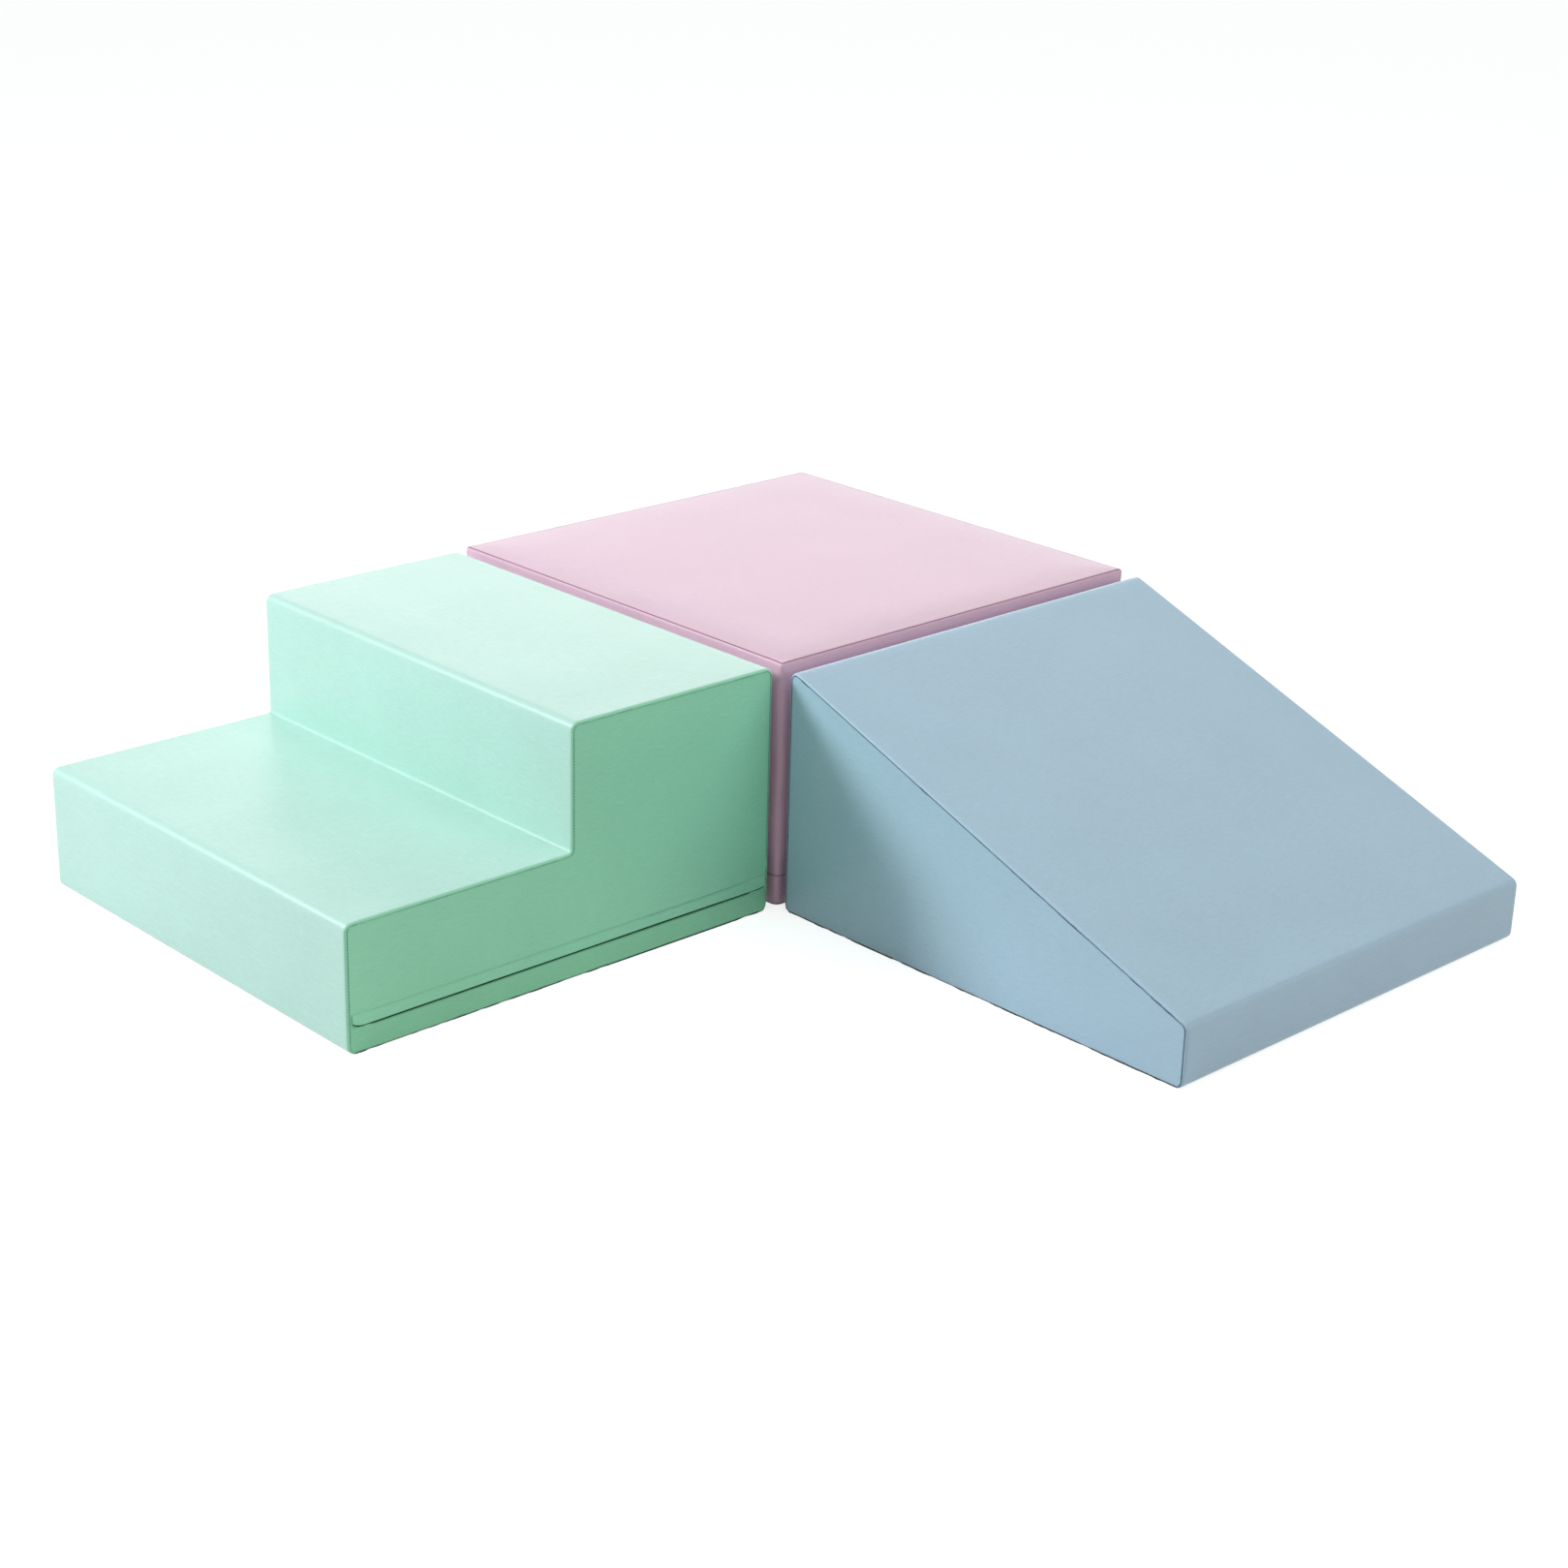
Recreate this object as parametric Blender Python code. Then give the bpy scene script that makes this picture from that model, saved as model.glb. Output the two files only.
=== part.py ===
"""Soft play foam climber: mint steps, a pink platform and a pale blue ramp, set in an L.

Metres, +Z up. +X runs from the front of the steps to the open side of the platform, +Y from the toe of the
ramp to the far side of the platform. The origin is on the floor, under the middle of the whole set.
"""

import math
from collections import namedtuple

import bmesh
import bpy
from mathutils import Matrix, Vector

# Foam modules, over the cover
BLOCK_WIDTH = 0.600
BLOCK_HEIGHT = 0.303
STEPS_LENGTH = 0.600
STEPS_WIDTH = 0.588
TREAD_HEIGHT = 0.151
UPPER_TREAD_DEPTH = 0.297
RAMP_LENGTH = 0.609
TOE_HEIGHT = 0.074

# Cover: sewn leatherette, and how it rounds the foam
COVER_THICKNESS = 0.0012
CLEARANCE = 0.0003
EDGE_RADIUS = 0.014
FOLD_RADIUS = 0.004
SIDE_SEAM_INSET = 0.007
BASE_SEAM_HEIGHT = 0.003
FACE_CROWN = 0.003
TOE_CROWN = 0.0015
JOIN_CROWN = 0.0045
SIDE_CROWN_RUN = 0.030
TOE_CROWN_EDGE = 0.020
CROWN_CORNER_RADIUS = 0.005

# Platform seams
PLATFORM_CORNER_RADIUS = 0.010
TOP_SEAM_DROP = 0.005
LOWER_SEAM_HEIGHT = 0.035

# Zips: a coil zip in a shallow pocket of the foam, behind a fabric flap
FLAP_HEIGHT = 0.018
FLAP_EDGE_HEIGHT = 0.028
COIL_END_MARGIN = 0.050
COIL_WIDTH = 0.0016
COIL_THICKNESS = 0.0015
COIL_SLIT = 0.0012
SLIDER_LENGTH = 0.014
SLIDER_WIDTH = 0.010
SLIDER_WING = 0.0012
SLIDER_LIP = 0.0006
SLIDER_NECK = 0.0006
SLIDER_FLAP_GAP = 0.0006
TAPE_THICKNESS = 0.0005
TAPE_LAP = 0.008
TAPE_BEND_GAP = 0.001
TAPE_TAIL = 0.010
STOP_LENGTH = 0.004
POCKET_GAP = 0.0004
POCKET_MARGIN = 0.001

# Hook-and-loop strips between the blocks
STRIP_WIDTH = 0.050
STRIP_HEIGHT = 0.110
STRIP_SPACING = 0.260
STRIP_CENTRE_HEIGHT = 0.163
LOOP_THICKNESS = 0.0024
HOOK_THICKNESS = 0.0018

# Overrun of every cutting box past what it cuts
OVERRUN = 0.020

# Where the crown of a face rises, along and across it, and how far it has risen there
STRETCH_SHARES = (0.07, 0.2, 0.8, 0.93)
CROWN_SHARES = (0.55, 1.0, 1.0, 0.55)
RING_SHARE = 0.4

CORNER_STEPS = 3
SHARP_ANGLE = math.radians(35)
COIL_DEPTH = COVER_THICKNESS + SLIDER_FLAP_GAP + SLIDER_WING + CLEARANCE + COIL_THICKNESS / 2
BLOCK_GAP = 2 * JOIN_CROWN + LOOP_THICKNESS + HOOK_THICKNESS + 3 * CLEARANCE
CORNER_X = (BLOCK_GAP + STEPS_LENGTH - BLOCK_WIDTH) / 2
CORNER_Y = (BLOCK_GAP + RAMP_LENGTH + TOE_CROWN - BLOCK_WIDTH - FACE_CROWN) / 2

Mark = namedtuple("Mark", "point outward before after turn weight")
Station = namedtuple("Station", "point outward seam lift")
Block = namedtuple("Block", "width corners radii crowns seams runs heart")
Zip = namedtuple("Zip", "name face flap_length coil_length cover tape metal")


# Scene and objects


def clear_scene():
    for item in list(bpy.data.objects):
        bpy.data.objects.remove(item, do_unlink=True)


def material(name, colour, roughness, metallic=0.0):
    made = bpy.data.materials.new(name)
    made.use_nodes = True
    shader = made.node_tree.nodes["Principled BSDF"]
    shader.inputs["Base Color"].default_value = (*colour, 1.0)
    shader.inputs["Roughness"].default_value = roughness
    shader.inputs["Metallic"].default_value = metallic
    made.diffuse_color = (*colour, 1.0)
    return made


def place_empty(name, location, turn=0.0, parent=None):
    empty = bpy.data.objects.new(name, None)
    empty.location = location
    empty.rotation_euler.z = turn
    empty.parent = parent
    bpy.context.scene.collection.objects.link(empty)
    return empty


def bridge(bm, low, high, heart):
    """Joins two rings. Each four-sided step folds along the diagonal that stands out further from the heart,
    so covers and the foam under them fold alike."""
    for a, b, c, d in zip(low, low[1:] + low[:1], high[1:] + high[:1], high):
        reach = [(vert.co - heart).length_squared for vert in (a, b, c, d)]
        if reach[0] + reach[2] < reach[1] + reach[3]:
            a, b, c, d = b, c, d, a
        bm.faces.new((a, b, c))
        bm.faces.new((a, c, d))


def cap_strip(bm, ring):
    """Closes a thin ring, whose second half runs back beside the first, with a row of faces."""
    last = len(ring) - 1
    for i in range(len(ring) // 2 - 1):
        bm.faces.new((ring[i], ring[i + 1], ring[last - i - 1], ring[last - i]))


def add_solid(bm, loops, ends, heart=Vector()):
    """One closed solid through a row of loops. ends is flat, strip or joined."""
    rings = [[bm.verts.new(point) for point in loop] for loop in loops]
    for low, high in zip(rings, rings[1:]):
        bridge(bm, low, high, heart)
    if ends == "joined":
        bridge(bm, rings[-1], rings[0], heart)
    for ring in (rings[0], rings[-1]):
        if ends == "flat":
            bm.faces.new(ring)
        if ends == "strip":
            cap_strip(bm, ring)


def make(name, solid, finish, parent, location=(0, 0, 0)):
    """One object from a solid, given as its loops and the way its ends close."""
    bm = bmesh.new()
    add_solid(bm, *solid)
    bmesh.ops.recalc_face_normals(bm, faces=bm.faces)
    mesh = bpy.data.meshes.new(name)
    bm.to_mesh(mesh)
    bm.free()
    mesh.shade_smooth()
    mesh.set_sharp_from_angle(angle=SHARP_ANGLE)
    mesh.materials.append(finish)
    made = bpy.data.objects.new(name, mesh)
    made.location = location
    made.parent = parent
    bpy.context.scene.collection.objects.link(made)
    return made


def box_loops(low, high):
    (x0, y0, z0), (x1, y1, z1) = low, high
    plan = ((x0, y0), (x1, y0), (x1, y1), (x0, y1))
    return [[(x, y, z) for x, y in plan] for z in (z0, z1)]


def cut_box(target, name, low, high, parent):
    """Cuts a box out of a solid. The cutter is kept as a hidden guide."""
    cutter = make(name, (box_loops(low, high), "flat"), target.data.materials[0], parent)
    cutter.hide_render = True
    cutter.display_type = "WIRE"
    cut = target.modifiers.new(name, "BOOLEAN")
    cut.operation = "DIFFERENCE"
    cut.solver = "EXACT"
    cut.object = cutter


# Outlines: clockwise, in a plane, with every corner rounded


def inward(direction):
    return Vector((direction.y, -direction.x))


def edge_direction(corners, index):
    return (corners[(index + 1) % len(corners)] - corners[index]).normalized()


def moved_corners(corners, insets):
    """Corners of an outline after each edge has moved in by its own inset."""
    moved = []
    for i, corner in enumerate(corners):
        a = inward(edge_direction(corners, i - 1))
        b = inward(edge_direction(corners, i))
        p, q = insets[i - 1], insets[i]
        area = a.x * b.y - a.y * b.x
        moved.append(corner + Vector((p * b.y - q * a.y, q * a.x - p * b.x)) / area)
    return moved


def rounded_corner(corners, index, radius):
    """Points on a rounded corner, each with the direction that faces out of the outline there."""
    before = edge_direction(corners, index - 1)
    after = edge_direction(corners, index)
    turn = before.angle_signed(after)
    side = math.copysign(1, turn)
    start = corners[index] - before * radius * math.tan(abs(turn) / 2)
    centre = start + inward(before) * radius * side
    bend = []
    for step in range(CORNER_STEPS + 1):
        out = Matrix.Rotation(-turn * step / CORNER_STEPS, 2) @ -inward(before)
        bend.append((centre + out * radius * side, out))
    return bend


def trace(corners, insets, radii):
    """Walks round an outline: points on each rounded corner, then the crown's points along the straight."""
    moved = moved_corners(corners, insets)
    bends = [rounded_corner(moved, i, radius) for i, radius in enumerate(radii)]
    walk = []
    for i, bend in enumerate(bends):
        for step, (point, outward) in enumerate(bend):
            walk.append(Mark(point, outward, i - 1, i, step / CORNER_STEPS, 0.0))
        start, outward = bend[-1]
        end = bends[(i + 1) % len(bends)][0][0]
        for share, weight in zip(STRETCH_SHARES, CROWN_SHARES):
            walk.append(Mark(start.lerp(end, share), outward, i, i, 0.0, weight))
    return walk


def block_stations(block):
    """The outer outline of a block, with the inset of its side seam and the lift of its crown."""
    plain = [0.0] * len(block.corners)
    stations = []
    for mark in trace(block.corners, plain, block.radii):
        seam = block.seams[mark.before] * (1 - mark.turn) + block.seams[mark.after] * mark.turn
        lift = block.crowns[mark.after] * mark.weight
        stations.append(Station(mark.point, mark.outward, seam, lift))
    return stations


def slid(station, distance):
    """The same station, moved along its edge."""
    along = Vector((station.outward.y, -station.outward.x))
    return station._replace(point=station.point + along * distance)


def below(outline, height):
    """The part of a closed outline that lies under a level line."""
    kept = []
    for a, b in zip(outline, outline[1:] + outline[:1]):
        if a.y <= height:
            kept.append(a)
        if (a.y - height) * (b.y - height) < 0:
            kept.append(a.lerp(b, (height - a.y) / (b.y - a.y)))
    return kept


# Blocks with one outline from side to side: the steps and the ramp


def steps_block():
    front, riser = -STEPS_LENGTH, -UPPER_TREAD_DEPTH
    corners = [
        Vector((front, 0)),
        Vector((front, TREAD_HEIGHT)),
        Vector((riser, TREAD_HEIGHT)),
        Vector((riser, BLOCK_HEIGHT)),
        Vector((0, BLOCK_HEIGHT)),
        Vector((0, 0)),
    ]
    radii = [EDGE_RADIUS, EDGE_RADIUS, FOLD_RADIUS, EDGE_RADIUS, EDGE_RADIUS, EDGE_RADIUS]
    crowns = [FACE_CROWN, FACE_CROWN, FACE_CROWN, FACE_CROWN, JOIN_CROWN, 0.0]
    runs = [SIDE_CROWN_RUN] * len(corners)
    heart = Vector((riser / 2, 0, TREAD_HEIGHT / 2))
    return Block(STEPS_WIDTH, corners, radii, crowns, seam_insets(len(corners)), runs, heart)


def ramp_block():
    toe = -RAMP_LENGTH
    slope = math.atan2(BLOCK_HEIGHT - TOE_HEIGHT, RAMP_LENGTH)
    rise = hinge_height() + SIDE_CROWN_RUN + TOE_CROWN_EDGE - TOE_HEIGHT
    rise += (SIDE_SEAM_INSET + SIDE_CROWN_RUN) / math.cos(slope)
    toe_run = rise / math.tan(slope) - SIDE_SEAM_INSET
    corners = [
        Vector((toe, 0)),
        Vector((toe, TOE_HEIGHT)),
        Vector((0, BLOCK_HEIGHT)),
        Vector((0, 0)),
    ]
    crowns = [TOE_CROWN, FACE_CROWN, JOIN_CROWN, 0.0]
    runs = [toe_run, SIDE_CROWN_RUN, SIDE_CROWN_RUN, SIDE_CROWN_RUN]
    heart = Vector((toe / 3, 0, TOE_HEIGHT / 2))
    radii = [EDGE_RADIUS] * len(corners)
    return Block(BLOCK_WIDTH, corners, radii, crowns, seam_insets(len(corners)), runs, heart)


def seam_insets(count):
    """How far the side seam lies in from each edge. The last edge is the base."""
    return [SIDE_SEAM_INSET] * (count - 1) + [BASE_SEAM_HEIGHT]


def section_point(station, sink, y, weight):
    point = station.point + station.outward * (station.lift * weight - sink)
    return Vector((point.x, y, point.y))


def cross_section(station, depth, width):
    """Points across a block, from one side seam to the other, at a depth under the skin."""
    half = width / 2 - SIDE_SEAM_INSET
    roll = SIDE_SEAM_INSET - depth
    edge = []
    for step in range(CORNER_STEPS, 0, -1):
        angle = math.pi / 2 * step / CORNER_STEPS
        sink = depth + (station.seam - depth) * (1 - math.cos(angle))
        edge.append((sink, half + roll * math.sin(angle)))
    row = [section_point(station, sink, -y, 0.0) for sink, y in edge]
    for share, weight in zip((0.0, *STRETCH_SHARES, 1.0), (0.0, *CROWN_SHARES, 0.0)):
        row.append(section_point(station, depth, half * (2 * share - 1), weight))
    row += [section_point(station, sink, y, 0.0) for sink, y in reversed(edge)]
    return row


def strip_solid(stations, block):
    """A strip of cover that runs along the outline and wraps both long edges of the block."""
    loops = []
    for station in stations:
        outer = cross_section(station, 0.0, block.width)
        inner = cross_section(station, COVER_THICKNESS, block.width)
        loops.append(outer + inner[::-1])
    return loops, "strip", block.heart


def side_outlines(block, floor):
    """Outlines of a side panel, from its seam to the flat top of its crown, each with its share of the crown.
    floor is the height of its lower edge."""
    flat = range(len(block.corners))
    seams = [inset + CLEARANCE for inset in block.seams[:-1]] + [floor]
    tops = [seam + run for seam, run in zip(seams, block.runs)]
    middles = [seam + (top - seam) * RING_SHARE for seam, top in zip(seams, tops)]
    radii = [corner_radius(block, i) for i in flat]
    radii[0] = radii[-1] = SIDE_SEAM_INSET - BASE_SEAM_HEIGHT
    rounded = [CROWN_CORNER_RADIUS] * len(radii)
    rings = ((seams, radii, 0.0), (middles, rounded, CROWN_SHARES[0]), (tops, rounded, 1.0))
    return [([m.point for m in trace(block.corners, i, r)], weight) for i, r, weight in rings]


def corner_radius(block, index):
    """Radius of the side seam where it follows a corner of the block."""
    fold = edge_direction(block.corners, index - 1).angle_signed(edge_direction(block.corners, index)) < 0
    return block.radii[index] + (SIDE_SEAM_INSET if fold else -SIDE_SEAM_INSET)


def seam_outline(stations, gap):
    """The side seam itself, moved in by a gap."""
    return [s.point - s.outward * (s.seam + gap) for s in stations]


def side_loop(outline, side, width, depth, lift):
    y = side * (width / 2 - depth + lift)
    return [Vector((point.x, y, point.y)) for point in outline]


def side_solid(outlines, side, block):
    """A crowned side panel: its outer face from the flat of the crown to the seam, then its inner face."""
    outer = [side_loop(o, side, block.width, 0.0, FACE_CROWN * w) for o, w in outlines]
    inner = [side_loop(o, side, block.width, COVER_THICKNESS, FACE_CROWN * w) for o, w in outlines]
    return outer[::-1] + inner, "flat", block.heart


def plain_side_outlines(block, stations):
    """Outlines of a side panel that reaches down to the base seam."""
    rings = side_outlines(block, BASE_SEAM_HEIGHT + CLEARANCE)
    return [(seam_outline(stations, CLEARANCE), 0.0), *rings[1:]]


def foam_loops(block, stations):
    """The foam of a block under its cover: crowned on every face but the base, flat beside the zip."""
    depth = COVER_THICKNESS + CLEARANCE
    rows = [cross_section(station, depth, block.width) for station in stations]
    across = [list(loop) for loop in zip(*rows)]
    over_zip = side_outlines(block, hinge_height())
    whole = plain_side_outlines(block, stations)
    zipped = [side_loop(o, -1, block.width, depth, FACE_CROWN * w) for o, w in over_zip]
    plain = [side_loop(o, 1, block.width, depth, FACE_CROWN * w) for o, w in whole]
    return zipped[::-1] + across + plain[1:]


def hinge_height():
    return FLAP_EDGE_HEIGHT + FLAP_HEIGHT


def add_block_cover(name, block, parent, finish, base, sides):
    """Wrap, back, base and side panels of a block. sides names the zipped side and the plain one."""
    zipped, plain = sides
    stations = block_stations(block)
    per_corner = CORNER_STEPS + 1 + len(STRETCH_SHARES)
    wrap_end = (len(block.corners) - 2) * per_corner + CORNER_STEPS + 1
    back_end = wrap_end + per_corner
    wrap = stations[:wrap_end]
    back = [slid(stations[wrap_end - 1], CLEARANCE), *stations[wrap_end:back_end]]
    floor = [
        slid(stations[back_end - 1], CLEARANCE),
        *stations[back_end:],
        slid(stations[0], -CLEARANCE),
    ]
    make(f"{name}_wrap_panel", strip_solid(wrap, block), finish, parent)
    make(f"{name}_back_panel", strip_solid(back, block), finish, parent)
    make(f"{name}_base_panel", strip_solid(floor, block), base, parent)
    upper = side_outlines(block, hinge_height())
    make(f"{name}_{zipped}_side_panel", side_solid(upper, -1, block), finish, parent)
    lower = below(seam_outline(stations, CLEARANCE), FLAP_EDGE_HEIGHT - CLEARANCE)
    band = [side_loop(lower, -1, block.width, depth, 0.0) for depth in (0.0, COVER_THICKNESS)]
    make(f"{name}_{zipped}_lower_band", (band, "flat"), finish, parent)
    whole = plain_side_outlines(block, stations)
    make(f"{name}_{plain}_side_panel", side_solid(whole, 1, block), finish, parent)
    return stations


# Platform: a square block with a top panel and bands round its four sides


def platform_stations():
    half = BLOCK_WIDTH / 2
    corners = [Vector(c) for c in ((-half, -half), (-half, half), (half, half), (half, -half))]
    crowns = [JOIN_CROWN, FACE_CROWN, FACE_CROWN, JOIN_CROWN]
    radii = [PLATFORM_CORNER_RADIUS] * len(corners)
    seams = [0.0] * len(corners)
    block = Block(BLOCK_WIDTH, corners, radii, crowns, seams, None, platform_heart())
    return block_stations(block), corners


def platform_heart():
    return Vector((0, 0, BLOCK_HEIGHT / 2))


def level_loop(stations, sink, z, weight=0.0):
    """A level loop round the platform, at a depth under its skin and with a share of the side crown."""
    points = [s.point + s.outward * (s.lift * weight - sink) for s in stations]
    return [Vector((point.x, point.y, z)) for point in points]


def rolled_edge(stations, radius, z, up, depth):
    """Loops over a rounded edge, from the side of the platform to its top or base. up is 1 or -1."""
    loops = []
    for step in range(CORNER_STEPS + 1):
        angle = math.pi / 2 * step / CORNER_STEPS
        sink = depth + (radius - depth) * (1 - math.cos(angle))
        loops.append(level_loop(stations, sink, z + up * (radius - depth) * math.sin(angle)))
    return loops


def top_loops(stations, corners, depth):
    """Top panel of the platform, from its seam over the rolled edge to the flat top of its crown."""
    loops = rolled_edge(stations, TOP_SEAM_DROP, BLOCK_HEIGHT - TOP_SEAM_DROP, 1, depth)
    rounded = [CROWN_CORNER_RADIUS] * len(corners)
    for share, weight in zip(STRETCH_SHARES[:2], CROWN_SHARES):
        insets = [BLOCK_WIDTH * share] * len(corners)
        height = BLOCK_HEIGHT - depth + FACE_CROWN * weight
        ring = [Vector((*m.point, height)) for m in trace(corners, insets, rounded)]
        loops.append(ring)
    return loops


def border_rows():
    """Heights up the sides of the platform, and the share of the side crown at each."""
    low = LOWER_SEAM_HEIGHT + FLAP_HEIGHT
    high = BLOCK_HEIGHT - TOP_SEAM_DROP
    crowned = [(low + (high - low) * s, w) for s, w in zip(STRETCH_SHARES, CROWN_SHARES)]
    return [(LOWER_SEAM_HEIGHT, 0.0), (low, 0.0), *crowned, (high - CLEARANCE, 0.0)]


def band_solid(stations, rows):
    """A band of cover round the platform."""
    outer = [level_loop(stations, 0.0, z, w) for z, w in rows]
    inner = [level_loop(stations, COVER_THICKNESS, z, w) for z, w in rows]
    return outer + inner[::-1], "joined", platform_heart()


def platform_foam_loops(stations, corners):
    depth = COVER_THICKNESS + CLEARANCE
    base = rolled_edge(stations, BASE_SEAM_HEIGHT, BASE_SEAM_HEIGHT, -1, depth)
    sides = [level_loop(stations, depth, z, w) for z, w in border_rows()]
    return base[::-1] + sides + top_loops(stations, corners, depth)


def add_platform_cover(stations, corners, parent, finish, base, zip_length):
    outer = top_loops(stations, corners, 0.0)
    inner = top_loops(stations, corners, COVER_THICKNESS)
    make("platform_top_panel", (outer[::-1] + inner, "flat", platform_heart()), finish, parent)
    border = make("platform_border_band", band_solid(stations, border_rows()), finish, parent)
    side = BLOCK_WIDTH / 2
    cut_box(
        border,
        "flap_notch_guide",
        (-zip_length / 2 - CLEARANCE, side - OVERRUN, LOWER_SEAM_HEIGHT - OVERRUN),
        (zip_length / 2 + CLEARANCE, side + OVERRUN, LOWER_SEAM_HEIGHT + FLAP_HEIGHT),
        parent,
    )
    low_rows = [(BASE_SEAM_HEIGHT + CLEARANCE, 0.0), (LOWER_SEAM_HEIGHT - CLEARANCE, 0.0)]
    make("platform_lower_band", band_solid(stations, low_rows), finish, parent)
    outer = rolled_edge(stations, BASE_SEAM_HEIGHT, BASE_SEAM_HEIGHT, -1, 0.0)
    inner = rolled_edge(stations, BASE_SEAM_HEIGHT, BASE_SEAM_HEIGHT, -1, COVER_THICKNESS)
    make("platform_base_panel", (outer[::-1] + inner, "flat", platform_heart()), base, parent)


# Foam slabs


def cut_pocket(foam, guide, face, block_length):
    """The shallow pocket that the zip is pressed into. face is the empty on the zipped face."""
    reach = FLAP_HEIGHT / 2 + TAPE_LAP + POCKET_MARGIN
    half = tape_length(coil_length(block_length)) / 2 + POCKET_MARGIN
    centre = face["zip_height"]
    cut_box(foam, guide, (-half, -OVERRUN, centre - reach), (half, pocket_depth(), centre + reach), face)


def pocket_depth():
    return COIL_DEPTH + COIL_THICKNESS / 2 + CLEARANCE + SLIDER_WING + POCKET_GAP


def add_slab(name, loops, heart, finish, parent, cuts):
    """One foam slab of a block: the whole foam, less the boxes that belong to its neighbour."""
    slab = make(name, (loops, "flat", heart), finish, parent)
    for i, (low, high) in enumerate(cuts):
        cut_box(slab, f"{name}_guide_{i}", low, high, parent)
    return slab


def add_steps_foam(stations, parent, finish, face):
    block = steps_block()
    loops = foam_loops(block, stations)
    low = (-STEPS_LENGTH - OVERRUN, -STEPS_WIDTH / 2 - OVERRUN, -OVERRUN)
    high = (OVERRUN, STEPS_WIDTH / 2 + OVERRUN, BLOCK_HEIGHT + OVERRUN)
    fold = -UPPER_TREAD_DEPTH - FOLD_RADIUS - CLEARANCE
    under = TREAD_HEIGHT - CLEARANCE / 2
    over = TREAD_HEIGHT + CLEARANCE / 2
    lower = add_slab("steps_foam_lower", loops, block.heart, finish, parent, [((fold, low[1], under), high)])
    cuts = [(low, (fold, high[1], high[2])), (low, (high[0], high[1], over))]
    add_slab("steps_foam_upper", loops, block.heart, finish, parent, cuts)
    cut_pocket(lower, "steps_pocket_guide", face, STEPS_LENGTH)


def add_platform_foam(stations, corners, parent, finish, face):
    loops = platform_foam_loops(stations, corners)
    reach = BLOCK_WIDTH / 2 + OVERRUN
    middle = BLOCK_HEIGHT / 2
    top = ((-reach, -reach, middle - CLEARANCE / 2), (reach, reach, BLOCK_HEIGHT + OVERRUN))
    bottom = ((-reach, -reach, -OVERRUN), (reach, reach, middle + CLEARANCE / 2))
    lower = add_slab("platform_foam_lower", loops, platform_heart(), finish, parent, [top])
    add_slab("platform_foam_upper", loops, platform_heart(), finish, parent, [bottom])
    cut_pocket(lower, "platform_pocket_guide", face, BLOCK_WIDTH)


# Zips, built in a frame on the zipped face: X along the zip, Y into the block, Z up


def coil_length(block_length):
    return block_length - 2 * COIL_END_MARGIN


def tape_length(coil):
    return coil + 2 * (CLEARANCE + STOP_LENGTH + TAPE_TAIL)


def bar(outline, start, end):
    """A straight bar along the zip, from its outline in depth and height."""
    return [[(x, depth, z) for depth, z in outline] for x in (start, end)], "flat"


def tape_outline(side):
    """One tape: sewn behind the cover, then bent down to the coil. side is 1 for the upper tape."""
    sewn = COVER_THICKNESS + CLEARANCE + TAPE_THICKNESS / 2
    bends = (
        (sewn, FLAP_HEIGHT / 2 + TAPE_LAP),
        (sewn, FLAP_HEIGHT / 2 + TAPE_BEND_GAP),
        (COIL_DEPTH, SLIDER_WIDTH / 2 + TAPE_BEND_GAP),
        (COIL_DEPTH, COIL_SLIT / 2 + COIL_WIDTH + CLEARANCE),
    )
    front = [(depth - TAPE_THICKNESS / 2, side * reach) for depth, reach in bends]
    back = [(depth + TAPE_THICKNESS / 2, side * reach) for depth, reach in bends]
    return front + back[::-1]


def rectangle(depth, thickness, low, high):
    front, back = depth - thickness / 2, depth + thickness / 2
    return [(front, low), (back, low), (back, high), (front, high)]


def slider_outline():
    """The slider end on: two wings with lips over the tapes, joined by a neck in the slit of the coil."""
    half = SLIDER_WIDTH / 2
    inside = COIL_THICKNESS / 2 + CLEARANCE
    outside = inside + SLIDER_WING
    lip = TAPE_THICKNESS / 2 + CLEARANCE
    quarter = [(outside, half), (lip, half), (lip, half - SLIDER_LIP), (inside, half - SLIDER_LIP)]
    quarter.append((inside, SLIDER_NECK / 2))
    top = [(COIL_DEPTH - d, z) for d, z in quarter] + [(COIL_DEPTH + d, z) for d, z in quarter[::-1]]
    return top + [(d, -z) for d, z in top[::-1]]


def raised(outline, height):
    return [(depth, z + height) for depth, z in outline]


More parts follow.
